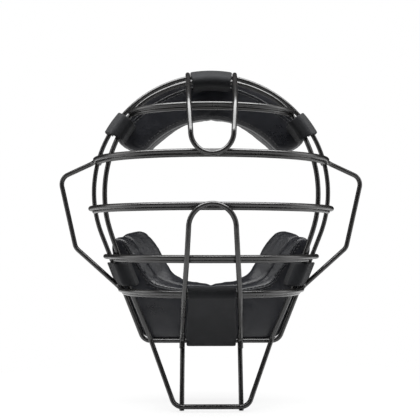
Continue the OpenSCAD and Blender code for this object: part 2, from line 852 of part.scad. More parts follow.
module chin_tab() {
    color(webbing)
        intersection() {
            on_chin(chin_tab_low + 4) polygon(ribbon(chin_wrap, tab_t));
            translate([0, fold_y + 1, 0])
                rotate([90, 0, 0])
                    linear_extrude(height = mouth_reach + 20)
                        polygon([
                            [-chin_tab_top / 2, mouth_z + 10],
                            [chin_tab_top / 2, mouth_z + 10],
                            [chin_tab_top / 2, mouth_z - 10],
                            [chin_tab_low / 2, chin_z + 10],
                            [chin_tab_low / 2, chin_z - 10],
                            [-chin_tab_low / 2, chin_z - 10],
                            [-chin_tab_low / 2, chin_z + 10],
                            [-chin_tab_top / 2, mouth_z - 10]
                        ]);
        }
}
module chin_tongue() {
    color(webbing)
        on_chin(chin_tab_low) tongue_form();
}
module chin_hook() {
    color(black)
        on_chin(chin_tab_low - 6) hook_form();
}
module chin_loop_patch() {
    color(webbing)
        on_chin(chin_tab_low - 4) loop_form();
}

rear_rim();
front_rim();
forehead_bar();
forehead_backing();
brow_ear_mouth_loop();
brow_backing();
eye_bar();
eye_backing();
nose_bar();
nose_backing();
mouth_backing();
crown_loop();
nose_loop();
throat_post_l();
throat_post_r();
brow_pad_panel();
brow_pad_cushion();
chin_pad_panel();
chin_pad_cushion();
crown_tab();
crown_tongue();
crown_hook();
crown_loop_patch();
corner_tab_l();
corner_tongue_l();
corner_hook_l();
corner_loop_patch_l();
corner_tab_r();
corner_tongue_r();
corner_hook_r();
corner_loop_patch_r();
cheek_tab_l();
cheek_tongue_l();
cheek_hook_l();
cheek_loop_patch_l();
cheek_tab_r();
cheek_tongue_r();
cheek_hook_r();
cheek_loop_patch_r();
chin_tab();
chin_tongue();
chin_hook();
chin_loop_patch();
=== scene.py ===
"""Dresses the umpire face mask: smooth welded wires, leather pads, webbing tabs and a plain studio."""

import math

import bmesh
import bpy
import numpy as np
from mathutils import Matrix, Vector, noise
from mathutils.bvhtree import BVHTree
from mathutils.kdtree import KDTree


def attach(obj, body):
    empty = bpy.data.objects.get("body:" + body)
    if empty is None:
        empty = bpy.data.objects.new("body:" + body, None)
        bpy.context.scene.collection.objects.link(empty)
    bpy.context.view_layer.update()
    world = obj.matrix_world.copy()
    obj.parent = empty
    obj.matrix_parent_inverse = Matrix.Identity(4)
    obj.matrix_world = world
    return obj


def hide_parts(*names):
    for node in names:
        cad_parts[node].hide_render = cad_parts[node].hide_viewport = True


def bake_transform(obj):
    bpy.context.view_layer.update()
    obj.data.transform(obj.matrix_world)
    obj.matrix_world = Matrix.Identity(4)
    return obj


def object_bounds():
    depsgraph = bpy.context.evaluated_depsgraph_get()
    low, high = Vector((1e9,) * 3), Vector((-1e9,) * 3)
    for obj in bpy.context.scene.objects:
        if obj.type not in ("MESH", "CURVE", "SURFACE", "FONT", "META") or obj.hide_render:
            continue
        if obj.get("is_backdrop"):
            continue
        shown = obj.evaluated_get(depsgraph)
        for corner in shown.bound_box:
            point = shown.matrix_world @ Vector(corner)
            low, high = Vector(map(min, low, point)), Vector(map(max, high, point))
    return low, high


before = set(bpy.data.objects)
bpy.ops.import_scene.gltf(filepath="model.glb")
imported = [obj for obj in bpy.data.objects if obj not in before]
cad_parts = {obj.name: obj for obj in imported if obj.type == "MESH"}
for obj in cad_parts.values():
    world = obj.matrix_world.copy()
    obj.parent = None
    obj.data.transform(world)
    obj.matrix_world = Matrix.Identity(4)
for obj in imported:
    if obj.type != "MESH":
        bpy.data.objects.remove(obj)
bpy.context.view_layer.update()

bl_info = {
    "name": "Umpire Face Mask",
    "version": (1, 0, 0),
    "blender": (4, 5, 0),
    "location": "3D View > Sidebar > Umpire Mask",
    "description": "Builds the wires, pads and tabs of an umpire face mask",
    "category": "Object",
}

MM = 0.001

# sizes shared with the part's source, in millimetres
BAR_D = 4.0
RIM_D = 3.8
WELD_BITE = 0.2
OPENING_W = 202.0
OPENING_H = 228.6
JAW_TAPER = 21.8
CLOSE_GAP = 0.06
PAIR_DROP = 2.3
CHIN_BEND_R = 9
FRONT_TOP_REACH = 19
FRONT_TOP_DROP = 8.3
FRONT_CHIN_X = 51.0
THROAT_Z, THROAT_REACH, THROAT_CORNER_X = -164.4, 30.0, 30
THROAT_BEND_R = 9
EAR_TOP, EAR_LOW, EAR_BEND_R = (130.7, 3, 25.2), (116.9, 3, -34.8), 9
CROWN_END_X, CROWN_LOOP_R = 20.3, 16.6
NOSE_LOOP_R, NOSE_END_X = 18, 24.9

LAP = BAR_D - WELD_BITE
RIM_LAP = (BAR_D + RIM_D) / 2 - WELD_BITE
SEAT = (RIM_D / 2 - WELD_BITE) * math.sin(math.radians(45))
PAIR_IN = math.sqrt((BAR_D + CLOSE_GAP) ** 2 - PAIR_DROP**2)
CROWN_R = OPENING_W / 2
CROWN_Z = OPENING_H / 2 - CROWN_R
CHIN_Z = -OPENING_H / 2


# ---- angles and paths

def sind(a):
    return math.sin(math.radians(a))


def cosd(a):
    return math.cos(math.radians(a))


def tand(a):
    return math.tan(math.radians(a))


def acosd(v):
    return math.degrees(math.acos(max(-1, min(1, v))))


def asind(v):
    return math.degrees(math.asin(max(-1, min(1, v))))


SIDE_Z = CROWN_Z - CROWN_R * sind(JAW_TAPER)
SIDE_X = CROWN_R * cosd(JAW_TAPER)


def rim_x(z):
    """Half width of the rear rim at height z."""
    if z > SIDE_Z:
        return math.sqrt(max(0, CROWN_R**2 - (z - CROWN_Z) ** 2))
    return SIDE_X - (SIDE_Z - z) * tand(JAW_TAPER)


def cross_bar(z, reach, squeeze=0):
    """Half width, reach and height of a bar whose ends rest on the rear rim."""
    lean = math.sqrt(1 - ((z - CROWN_Z) / CROWN_R) ** 2) if z > SIDE_Z else cosd(JAW_TAPER)
    return rim_x(z) + (BAR_D / 2 + SEAT) / lean - squeeze, reach, z


def behind(bar):
    """The backing wire of a bar."""
    return bar[0] - PAIR_IN, bar[1] - PAIR_IN, bar[2] - PAIR_DROP


FOREHEAD = (73.5, 60.0, 79.5)
BROW = cross_bar(40.0, 76.8, 1)
EYE = cross_bar(-1.6, 85.0)
NOSE = cross_bar(-42.0, 82.0)
MOUTH = cross_bar(-70.0, 66.5, 1)
BROW_Z, NOSE_Z, MOUTH_Z = BROW[2], NOSE[2], MOUTH[2]
FOREHEAD_X = FOREHEAD[0] * 0.9


def fillet(a, p, b, r, step=5):
    """Arc of radius r that rounds the corner p between a and b."""
    u = (p - a).normalized()
    w = (b - p).normalized()
    t = acosd(u.dot(w))
    n = (w - u * w.dot(u)).normalized()
    c = p - u * (r * tand(t / 2)) + n * r
    m = max(1, math.ceil(t / step))
    return [c + r * (u * sind(t * j / m) - n * cosd(t * j / m)) for j in range(m + 1)]


def bend(corners):
    """Path through corners (x, y, z, bend radius)."""
    out = []
    for i, q in enumerate(corners):
        p = Vector(q[:3])
        if i in (0, len(corners) - 1) or q[3] == 0:
            out.append(p)
        else:
            out += fillet(Vector(corners[i - 1][:3]), p, Vector(corners[i + 1][:3]), q[3])
    return out


def spline(stations, m):
    """Smooth curve through the stations, m steps between two of them."""
    p = [Vector(q) for q in stations]
    out = []
    for i in range(len(p) - 1):
        b, c = p[i], p[i + 1]
        a = 2 * b - c if i == 0 else p[i - 1]
        d = 2 * c - b if i == len(p) - 2 else p[i + 2]
        for j in range(m):
            t = j / m
            out.append(0.5 * (2 * b + (c - a) * t + (2 * a - 5 * b + 4 * c - d) * t * t
                              + (3 * b - a - 3 * c + d) * t * t * t))
    return out + [p[-1]]


def flip(path):
    return [Vector((-q[0], q[1], q[2])) for q in path]


def both(half):
    """A path from its half that starts at the middle plane."""
    return flip(half[:0:-1]) + half


def ring(half):
    """A closed path from its half that starts and ends at the middle plane."""
    return half + flip(half[-2:0:-1])


def bar_half(bar, end, m=36):
    a, b, z = bar
    return [Vector((a * sind(t), -b * cosd(t), z)) for t in (end * k / m for k in range(m + 1))]


def bar_y(bar, x):
    return -bar[1] * math.sqrt(max(0, 1 - (x / bar[0]) ** 2))


def station(x, bar, tilt):
    """Point of the front rim at half width x, under a bar that it leans to by tilt."""
    a, b, z = bar

    def beside(t):
        return Vector((b * sind(t), -a * cosd(t))).normalized()
    n = beside(asind((x + LAP) / a))
    t = asind(min(1, (x + LAP * n[0]) / a))
    m = beside(t) * LAP / cosd(tilt)
    return Vector((a * sind(t) - m[0], -b * cosd(t) - m[1], z))


def front_half_path(m=14):
    top_z = OPENING_H / 2 - FRONT_TOP_DROP
    mouth_x = 66.5
    shoulder = (FOREHEAD_X * 0.55, -FRONT_TOP_REACH, top_z - 6.8)
    stations = [
        (-shoulder[0], *shoulder[1:]),
        (0, -FRONT_TOP_REACH, top_z),
        shoulder,
        station(FOREHEAD_X, FOREHEAD, 12),
        station(85, behind(BROW), 12),
        station(87, behind(EYE), 11),
        station(75, behind(NOSE), 11),
        station(mouth_x, behind(MOUTH), 20),
        (FRONT_CHIN_X, -RIM_LAP, CHIN_Z),
        (2 * FRONT_CHIN_X - mouth_x + 2, -THROAT_REACH * 0.7, 1.8 * CHIN_Z - 0.8 * MOUTH_Z),
    ]
    return spline(stations, m)[m:8 * m] + bend([
        (FRONT_CHIN_X, -RIM_LAP, CHIN_Z, 0),
        (THROAT_CORNER_X, -THROAT_REACH, THROAT_Z, THROAT_BEND_R),
        (0, -THROAT_REACH, THROAT_Z, 0),
    ])


FRONT_HALF = front_half_path()


def front_cut(o, t):
    """Point of the front rim where it crosses the plane through o square to t."""
    o, t = Vector(o), Vector(t)
    for p, q in zip(FRONT_HALF, FRONT_HALF[1:]):
        a, b = (p - o).dot(t), (q - o).dot(t)
        if (a <= 0) != (b <= 0):
            return p + (q - p) * (a / (a - b))
    raise ValueError("the front rim doesn't cross that plane")


def rear_rim_path():
    arc = [Vector((CROWN_R * cosd(a), 0, CROWN_Z + CROWN_R * sind(a)))
           for a in np.linspace(90, -JAW_TAPER, 57)]
    return ring(arc[:-1] + bend([
        (SIDE_X, 0, SIDE_Z, 0), (rim_x(CHIN_Z), 0, CHIN_Z, CHIN_BEND_R), (0, 0, CHIN_Z, 0)]))


EAR_TURN_R = 8
EAR_SEAT = (RIM_LAP - EAR_TURN_R * (1 / cosd(30) - 1)) * sind(45)
EAR_FOOT = (rim_x(MOUTH_Z + 1) + EAR_SEAT / cosd(JAW_TAPER), -EAR_SEAT, MOUTH_Z + 1)


def ear_loop_path():
    """The brow bar, both ear guards and the mouth bar, as one closed wire."""
    straight = 13
    top = bar_half(BROW, acosd(straight / BROW[1]))
    low = bar_half(MOUTH, acosd(straight / MOUTH[1]))
    return ring(top[:-1] + bend([
        (*top[-1], 0),
        (rim_x(BROW_Z - 1) + EAR_SEAT, -EAR_SEAT, BROW_Z - 1, EAR_TURN_R),
        (*EAR_TOP, EAR_BEND_R),
        (*EAR_LOW, EAR_BEND_R),
        (*EAR_FOOT, EAR_TURN_R),
        (*low[-1], 0),
    ]) + low[-2::-1])


def loop_arc(r, bar, z, angles):
    """Arc of radius r round height z that lies on the front of a bar."""
    return [Vector((r * cosd(a), bar_y(bar, r * cosd(a)) - LAP, z + r * sind(a))) for a in angles]


def crown_loop_path():
    bar_x = (CROWN_END_X + CROWN_LOOP_R) / 2
    over = front_cut((CROWN_END_X, 0, 0), (1, 0, 0))
    bar = Vector((bar_x, bar_y(FOREHEAD, bar_x), FOREHEAD[2]))
    rise = math.degrees(math.atan2(over[2] - BROW_Z, over[1] + BROW[1]))
    arc = loop_arc(CROWN_LOOP_R, BROW, BROW_Z - BAR_D / 2 + CROWN_LOOP_R, range(-90, 1, 5))
    rim_top = CROWN_Z + math.sqrt(CROWN_R**2 - CROWN_END_X**2)
    lap = RIM_LAP - 0.15
    return both(arc[:-1] + spline([
        arc[-1],
        bar + LAP * Vector((0, -sind(rise), cosd(rise))),
        over + Vector((-0.6, -LAP * sind(32), LAP * cosd(32))),
        (CROWN_END_X, -lap * sind(42), rim_top + lap * cosd(42)),
    ], 14))


POST_X = NOSE_END_X - 0.5
POST_LEAN = math.degrees(math.atan((THROAT_REACH - 2 * LAP - 0.6) / (CHIN_Z - THROAT_Z)))


def post_y(z):
    return -RIM_LAP / cosd(POST_LEAN) - (CHIN_Z - z) * tand(POST_LEAN)


def nose_loop_path():
    def ahead(u):
        return Vector((0, u[2], -u[1])).normalized()
    nose_x = NOSE_LOOP_R + 1.3
    mouth_x = nose_x + 2.4
    turn_r = 8
    arc = loop_arc(NOSE_LOOP_R, EYE, EYE[2] + 0.4 - NOSE_LOOP_R, range(90, -1, -5))
    gap_y = LAP / cosd(POST_LEAN)
    over_nose = Vector((nose_x, bar_y(NOSE, nose_x) - LAP / cosd(14), NOSE_Z))
    mouth_bar = Vector((mouth_x, bar_y(MOUTH, mouth_x), MOUTH_Z))
    foot = Vector((NOSE_END_X, post_y(CHIN_Z + 3) - gap_y, CHIN_Z + 3))
    n1 = ahead(mouth_bar - Vector((0, LAP, 0)) - over_nose)
    n2 = ahead(foot - mouth_bar)
    turn = acosd(n1.dot(n2)) / 2
    corner = mouth_bar + (n1 + n2) / (1 + n1.dot(n2)) * (turn_r - (turn_r - LAP) * cosd(turn))
    low = spline([arc[-1], over_nose, corner + (over_nose - corner) * 0.3], 12)
    return both(arc[:-1] + bend([(*q, 0) for q in low] + [
        (*corner, turn_r), (*foot, 5), (NOSE_END_X, post_y(CHIN_Z - 5) - gap_y, CHIN_Z - 5, 0)]))


def post_path(side):
    return [Vector((side * POST_X, post_y(z), z)) for z in (THROAT_Z - 3.4, CHIN_Z + 3.4)]


def wire_paths():
    """Name, path, diameter and whether the path closes, for each wire of the cage."""
    def to_x(bar, x):
        return both(bar_half(bar, asind(x / bar[0])))

    def to_rim(bar, seat=RIM_D / 2 - WELD_BITE):
        return both(bar_half(bar, acosd(seat / bar[1])))
    paths = {
        "rear_rim": rear_rim_path(),
        "front_rim": ring(FRONT_HALF),
        "forehead_bar": to_x(FOREHEAD, FOREHEAD_X + 3),
        "forehead_backing": to_x(behind(FOREHEAD), FOREHEAD_X - 0.2),
        "brow_ear_mouth_loop": ear_loop_path(),
        "brow_backing": to_rim(behind(BROW)),
        "eye_bar": to_rim(EYE, SEAT),
        "eye_backing": to_rim(behind(EYE)),
        "nose_bar": to_rim(NOSE, SEAT),
        "nose_backing": to_x(behind(NOSE), 78),
        "mouth_backing": to_rim(behind(MOUTH)),
        "crown_loop": crown_loop_path(),
        "nose_loop": nose_loop_path(),
        "throat_post_l": post_path(-1),
        "throat_post_r": post_path(1),
    }
    closed = ("rear_rim", "front_rim", "brow_ear_mouth_loop")
    return [(name, path, RIM_D if name == "rear_rim" else BAR_D, name in closed)
            for name, path in paths.items()]


# ---- node trees

def assign(thing, **values):
    """Sets several properties of one thing."""
    for key, value in values.items():
        setattr(thing, key, value)
    return thing


def fill(made, inputs):
    """Sets a node's inputs, by name or number, to values or links them to other nodes' outputs."""
    for key, value in inputs.items():
        if isinstance(value, bpy.types.NodeSocket):
            made.id_data.links.new(value, made.inputs[key])
        else:
            made.inputs[key].default_value = value
    return made


def node(kind, inputs, tree=None, **properties):
    """Outputs of a new node, which is made in the tree of the outputs that it is linked to."""
    if tree is None:
        tree = next(value for value in inputs.values() if isinstance(value, bpy.types.NodeSocket)).id_data
    return fill(assign(tree.nodes.new(kind), **properties), inputs).outputs


def maths(operation, a, b=None, clamp=False):
    inputs = {0: a} if b is None else {0: a, 1: b}
    return node("ShaderNodeMath", inputs, operation=operation, use_clamp=clamp)[0]


def times(a, b):
    return maths("MULTIPLY", a, b)


def plus(a, b):
    return maths("ADD", a, b)


def noise_at(vector, scale, detail=3.0, roughness=0.55):
    return node("ShaderNodeTexNoise", {
        "Vector": vector, "Scale": scale, "Detail": detail, "Roughness": roughness})["Fac"]


def ramp(value, low, high, to_low=0.0, to_high=1.0):
    return node("ShaderNodeMapRange", {
        "Value": value, "From Min": low, "From Max": high, "To Min": to_low, "To Max": to_high})["Result"]


def mixed(factor, a, b):
    return node("ShaderNodeMix", {"Factor": factor, 6: a, 7: b}, data_type="RGBA")[2]


def drift_outputs(given):
    """Colour that drifts between two tones over the surface."""
    mask = ramp(noise_at(given["Vector"], given["Scale"], 4.0, 0.6), 0.32, 0.68)
    return {"Color": mixed(mask, given["Dark"], given["Light"]), "Mask": mask}


def grain_outputs(given):
    """Pebbled leather grain: cells with fine creases between them."""
    place, size = given["Vector"], given["Cell size"]
    density = maths("DIVIDE", 1.0, size)
    small = times(noise_at(place, times(density, 0.6), 2.0), times(size, 0.8))
    shift = node("ShaderNodeCombineXYZ", {"X": small, "Y": small, "Z": small})["Vector"]
    bent = node("ShaderNodeVectorMath", {0: place, 1: shift}, operation="ADD")["Vector"]
    cells = node("ShaderNodeTexVoronoi", {"Vector": bent, "Scale": density}, feature="DISTANCE_TO_EDGE")
    pebble = ramp(cells["Distance"], 0.0, 0.22)
    fine = noise_at(place, times(density, 3.0), 3.0)
    return {"Height": plus(times(pebble, 0.75), times(fine, 0.35)),
            "Crease": maths("SUBTRACT", 1.0, pebble, True)}


def weave_outputs(given):
    """Plain weave from a strip's own length and width in millimetres."""
    split = node("ShaderNodeSeparateXYZ", {0: given["Along"]})
    turn = maths("DIVIDE", math.pi, given["Pitch"])
    u, v = (maths("SINE", times(split[axis], turn)) for axis in "XY")
    over = times(ramp(times(u, v), -0.15, 0.15), 0.6)
    warp = times(maths("ABSOLUTE", v), plus(over, 0.4))
    weft = times(maths("ABSOLUTE", u), maths("SUBTRACT", 1.0, over))
    height = maths("MAXIMUM", warp, weft)
    # the gap mask marks where the weave's gaps get painted shade
    return {"Height": height, "Gap": ramp(height, 0.55, 0.15)}


def wear_outputs(given):
    """Scattered scuffs and dust as a mask."""
    place, scale = given["Vector"], given["Scale"]
    broad = ramp(noise_at(place, times(scale, 0.2), 2.0), 0.5, 0.7)
    fine = ramp(noise_at(place, scale, 6.0, 0.7), 0.52, 0.66)
    return {"Mask": maths("MULTIPLY", times(broad, fine), given["Amount"], True)}


def smoothed(geometry):
    return node("GeometryNodeSetShadeSmooth", {"Geometry": geometry})["Geometry"]


def coated(geometry, material):
    """Real geometry in its material."""
    real = node("GeometryNodeRealizeInstances", {"Geometry": geometry})["Geometry"]
    return node("GeometryNodeSetMaterial", {"Geometry": real, "Material": material})["Geometry"]


def curve_of(given):
    return node("GeometryNodeMeshToCurve", {"Mesh": given["Path"]})["Curve"]


def wire_outputs(given):
    """Sweeps a round section along the edges it is given."""
    circle = node("GeometryNodeCurvePrimitiveCircle", {
        "Radius": times(given["Diameter"], 0.5), "Resolution": given["Sides"]})["Curve"]
    sweep = node("GeometryNodeCurveToMesh", {
        "Curve": curve_of(given), "Profile Curve": circle, "Fill Caps": True})["Mesh"]
    return {"Wire": coated(smoothed(sweep), given["Paint"])}


def bead_outputs(given, points, facing, axis, segments, rings):
    """Places a small rounded bead on every point."""
    ball = node("GeometryNodeMeshUVSphere", {"Segments": segments, "Rings": rings, "Radius": 0.5},
                points.id_data)["Mesh"]
    size = node("ShaderNodeCombineXYZ", {
        "X": given["Length"], "Y": given["Width"], "Z": given["Height"]})["Vector"]
    turn = node("FunctionNodeAlignRotationToVector", {"Vector": facing}, axis=axis)["Rotation"]
    beads = node("GeometryNodeInstanceOnPoints", {
        "Points": points, "Instance": smoothed(ball), "Rotation": turn, "Scale": size})["Instances"]
    return {"Beads": coated(beads, given["Finish"])}


def stitch_outputs(given):
    """Beads at equal steps along a path."""
    points = node("GeometryNodeResampleCurve", {
        "Curve": curve_of(given), "Length": given["Pitch"]}, mode="LENGTH")["Curve"]
    tangent = node("GeometryNodeInputTangent", {}, points.id_data)["Tangent"]
    return bead_outputs(given, points, tangent, "X", 8, 5)


def weld_outputs(given):
    """Beads that lie square to the direction stored on each point."""
    across = node("GeometryNodeInputNamedAttribute", {"Name": "across"}, given["Path"].id_data,
                  data_type="FLOAT_VECTOR")
    return bead_outputs(given, given["Path"], across["Attribute"], "Z", 16, 8)


BEAD_INPUTS = {"Path": "Geometry", "Pitch": 0.003, "Length": 0.0022, "Width": 0.0006, "Height": 0.0005,
               "Finish": "Material"}
# what fills each node group, its inputs (a default value or a kind) and its outputs' kinds
TREES = {
    "Colour drift": (drift_outputs, {"Vector": "Vector", "Scale": 20.0, "Dark": (0.01, 0.01, 0.01, 1),
                                     "Light": (0.03, 0.03, 0.03, 1)}, {"Color": "Color", "Mask": "Float"}),
    "Leather grain": (grain_outputs, {"Vector": "Vector", "Cell size": 0.0015},
                      {"Height": "Float", "Crease": "Float"}),
    "Webbing weave": (weave_outputs, {"Along": "Vector", "Pitch": 1.1}, {"Height": "Float", "Gap": "Float"}),
    "Handling wear": (wear_outputs, {"Vector": "Vector", "Scale": 120.0, "Amount": 0.3}, {"Mask": "Float"}),
    "Round wire": (wire_outputs, {"Path": "Geometry", "Diameter": 0.004, "Sides": 20, "Paint": "Material"},
                   {"Wire": "Geometry"}),
    "Stitch row": (stitch_outputs, BEAD_INPUTS, {"Beads": "Geometry"}),
    "Weld beads": (weld_outputs, BEAD_INPUTS, {"Beads": "Geometry"}),
}
KINDS = {float: "Float", int: "Int", tuple: "Color"}


def shared(name):
    """The node group of that name, made when it is first asked for."""
    if name in bpy.data.node_groups:
        return bpy.data.node_groups[name]
    outputs_of, inputs, outputs = TREES[name]
    kind = "GeometryNodeTree" if "Path" in inputs else "ShaderNodeTree"
    tree = bpy.data.node_groups.new(name, kind)
    for key, value in inputs.items():
        preset = type(value) in KINDS
        socket = tree.interface.new_socket(
            key, in_out="INPUT", socket_type="NodeSocket" + (KINDS[type(value)] if preset else value))
        if preset:
            socket.default_value = value
    for key, value in outputs.items():
        tree.interface.new_socket(key, in_out="OUTPUT", socket_type="NodeSocket" + value)
    given = tree.nodes.new("NodeGroupInput").outputs
    fill(tree.nodes.new("NodeGroupOutput"), outputs_of(given))
    return tree


# ---- materials

WHITE = (1, 1, 1, 1)


def cleared(owner):
    """A material's or world's empty node tree."""
    owner.use_nodes = True
    owner.node_tree.nodes.clear()
    return owner.node_tree


def material(name, dress, *given):
    """New material whose tree is filled by dress(place on the piece, ...)."""
    mat = bpy.data.materials.new(name)
    dress(node("ShaderNodeTexCoord", {}, cleared(mat))["Object"], *given)
    return mat


def group(name, inputs):
    return node("ShaderNodeGroup", inputs, node_tree=shared(name))


def tone(color, factor):
    return (*(min(1.0, c * factor) for c in color[:3]), 1.0)


def drift_at(place, scale, dark, light):
    return group("Colour drift", {"Vector": place, "Scale": scale, "Dark": dark, "Light": light})


def wear_at(place, scale, amount):
    return group("Handling wear", {"Vector": place, "Scale": scale, "Amount": amount})["Mask"]


def weave_at(place, pitch):
    along = node("ShaderNodeAttribute", {}, place.id_data, attribute_type="GEOMETRY", attribute_name="along")
    return group("Webbing weave", {"Along": along["Vector"], "Pitch": pitch})


def finish(color, roughness, height, strength, distance, specular=0.5, sheen=0.0, sheen_roughness=0.5):
    """Ends a material with its shader and a bump from height."""
    bump = node("ShaderNodeBump", {"Strength": strength, "Distance": distance, "Height": height})
    shader = node("ShaderNodeBsdfPrincipled", {
        "Base Color": color, "Roughness": roughness, "Normal": bump["Normal"], "Specular IOR Level": specular,
        "Sheen Weight": sheen, "Sheen Roughness": sheen_roughness})["BSDF"]
    node("ShaderNodeOutputMaterial", {"Surface": shader})


def paint(place, color):
    """Semi-gloss powder coat: fine orange peel, faint colour drift, dull scuffs."""
    drift = drift_at(place, 38.0, tone(color, 0.8), tone(color, 1.35))
    wear = wear_at(place, 240.0, 0.2)
    gloss = ramp(noise_at(place, 60.0, 2.0), 0.3, 0.7, 0.26, 0.31)
    finish(mixed(wear, drift["Color"], tone(color, 3.0)), plus(gloss, times(wear, 0.1)),
           noise_at(place, 260.0, 2.0), 0.01, 0.0002)


def leather(place, color, cell, roughness):
    """Synthetic leather: pebbled grain, duller creases with painted shade in them, a faint dusty bloom."""
    drift = drift_at(place, 26.0, tone(color, 0.72), tone(color, 1.35))
    grain = group("Leather grain", {"Vector": place, "Cell size": cell})
    # painted shade: the colour darkens towards a third of itself in the grain's creases
    crease_shaded = mixed(times(grain["Crease"], 0.5), drift["Color"], tone(color, 0.35))
    gloss = ramp(drift["Mask"], 0.0, 1.0, roughness - 0.05, roughness + 0.06)
    folds = noise_at(place, 70.0, 4.0, 0.62)
    finish(mixed(wear_at(place, 150.0, 0.12), crease_shaded, tone(color, 4.0)),
           plus(gloss, times(grain["Crease"], 0.18)),
           plus(times(grain["Height"], 0.5), times(folds, 1.6)), 0.16, 0.0006, 0.4)


def webbing(place, color):
    """Matt woven webbing with a slight nap, and painted shade in the gaps between its yarns."""
    weave = weave_at(place, 0.9)
    drift = drift_at(place, 60.0, tone(color, 0.75), tone(color, 1.3))
    # painted shade: the colour darkens to 0.3 of itself in the gaps between the yarns
    gap_shaded_color = mixed(weave["Gap"], drift["Color"], tone(color, 0.3))
    fibre = noise_at(place, 2600.0, 2.0)
    finish(mixed(wear_at(place, 300.0, 0.3), gap_shaded_color, tone(color, 2.6)),
           ramp(weave["Height"], 0.0, 1.0, 0.95, 0.78),
           plus(weave["Height"], times(fibre, 0.5)), 0.5, 0.0003, 0.16, 0.03)


def hook_tape(place):
    """Rows of small stiff hooks on black plastic, with painted shade between the hooks."""
    weave = weave_at(place, 1.5)
    # painted shade: the plastic's colour falls from 0.02 to 0.004 in the gaps between the hooks
    finish(mixed(weave["Gap"], (0.02, 0.02, 0.022, 1), (0.004, 0.004, 0.004, 1)),
           ramp(weave["Height"], 0.0, 1.0, 0.6, 0.38), weave["Height"], 0.9, 0.0006)


def loop_tape(place, color):
    """A fuzzy napped surface."""
    fuzz = noise_at(place, 1300.0, 5.0, 0.75)
    finish(drift_at(place, 180.0, tone(color, 0.6), tone(color, 1.2))["Color"],
           ramp(fuzz, 0.3, 0.7, 0.98, 0.86), fuzz, 0.8, 0.0006, 0.15, 0.05, 0.6)


def thread(place):
    """Twisted thread, a shade lighter than the leather."""
    drift = drift_at(place, 300.0, (0.006, 0.006, 0.007, 1), (0.016, 0.016, 0.018, 1))
    finish(drift["Color"], ramp(drift["Mask"], 0.0, 1.0, 0.55, 0.75),
           noise_at(place, 3000.0, 2.0), 0.3, 0.0002)


# ---- objects

def into_scene(name, data):
    obj = bpy.data.objects.new(name, data)
    bpy.context.scene.collection.objects.link(obj)
    return obj


def new_object(name, verts, edges, faces):
    """Object with a mesh given in millimetres."""
    mesh = bpy.data.meshes.new(name)
    mesh.from_pydata([tuple(v * MM) for v in verts], edges, faces)
    return into_scene(name, mesh)


def path_object(name, path, closed=False):
    last = len(path) - 1
    return new_object(name, path, [(i, i + 1) for i in range(last)] + ([(last, 0)] if closed else []), [])


def shade_smooth(mesh):
    mesh.polygons.foreach_set("use_smooth", [True] * len(mesh.polygons))


def tube_object(name, rings, cover):
    """Tube through rings of points, with a hub at each end and its faces turned outwards."""
    n, s = len(rings), len(rings[0])
    verts = [v for row in rings for v in row]
    faces = [(i * s + j, i * s + (j + 1) % s, (i + 1) * s + (j + 1) % s, (i + 1) * s + j)
             for i in range(n - 1) for j in range(s)]
    for i in (0, n - 1):
        faces += [(i * s + j, i * s + (j + 1) % s, len(verts)) for j in range(s)]
        verts.append(sum(rings[i], Vector((0, 0, 0))) / s)
    obj = new_object(name, verts, [], faces)
    b = bmesh.new()
    b.from_mesh(obj.data)
    bmesh.ops.recalc_face_normals(b, faces=b.faces)
    b.to_mesh(obj.data)
    b.free()
    obj.data.materials.append(cover)
    shade_smooth(obj.data)
    return obj


def mark_points(mesh, name, values):
    mesh.attributes.new(name, "FLOAT_VECTOR", "POINT").data.foreach_set("vector", values)


def swap_mesh(obj):
    """Replaces obj's mesh by its evaluated one and drops its modifiers."""
    graph = bpy.context.evaluated_depsgraph_get()
    graph.update()
    made = bpy.data.meshes.new_from_object(obj.evaluated_get(graph), depsgraph=graph)
    obj.modifiers.clear()
    old, obj.data = obj.data, made
    made.name = obj.name
    bpy.data.meshes.remove(old)


def bake_nodes(obj, name, **values):
    """Runs a Geometry Nodes tree on obj and leaves its result as obj's plain mesh."""
    modifier = obj.modifiers.new("nodes", "NODES")
    modifier.node_group = shared(name)
    for item in modifier.node_group.interface.items_tree:
        if item.item_type == "SOCKET" and item.in_out == "INPUT" and item.name in values:
            modifier[item.identifier] = values[item.name]
    swap_mesh(obj)
    if not len(obj.data.polygons):
        raise RuntimeError(f"{obj.name}: the node tree made no faces")


def place_piece(obj, body, slot_name, *nodes):
    """Puts a piece on its body, in place of the nodes that it hides; slot_name is not used."""
    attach(obj, body)
    if nodes:
        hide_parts(*nodes)


# ---- wires and welds

PAINT = "Black powder coat"
PAIRED = {("forehead_bar", "forehead_backing"), ("brow_ear_mouth_loop", "brow_backing"),
          ("brow_ear_mouth_loop", "mouth_backing"), ("eye_bar", "eye_backing"), ("nose_bar", "nose_backing")}
WELD_STEP, WELD_REACH, WELD_APART = 0.4, 0.35, 9


class MASK_OT_wires(bpy.types.Operator):
    """Sweeps every wire of the cage and hides the plain ones"""
    bl_idname = "umpire_mask.wires"
    bl_label = "Cage wires"

    def execute(self, context):
        look = context.scene.umpire_mask
        coat = material(PAINT, paint, look.paint_color)
        for name, path, diameter, closed in wire_paths():
            obj = path_object(name + "_wire", path, closed)
            bake_nodes(obj, "Round wire", Diameter=diameter * MM, Sides=look.wire_sides, Paint=coat)
            obj.data.set_sharp_from_angle(angle=math.radians(50))
            place_piece(obj, "mask", "wire", name)
        return {"FINISHED"}


def resample(path, closed):
    pts = path + [path[0]] if closed else path
    out = []
    for a, b in zip(pts, pts[1:]):
        out += run(a, b, max(1, math.ceil((b - a).length / WELD_STEP)))
    return out + [pts[-1]]


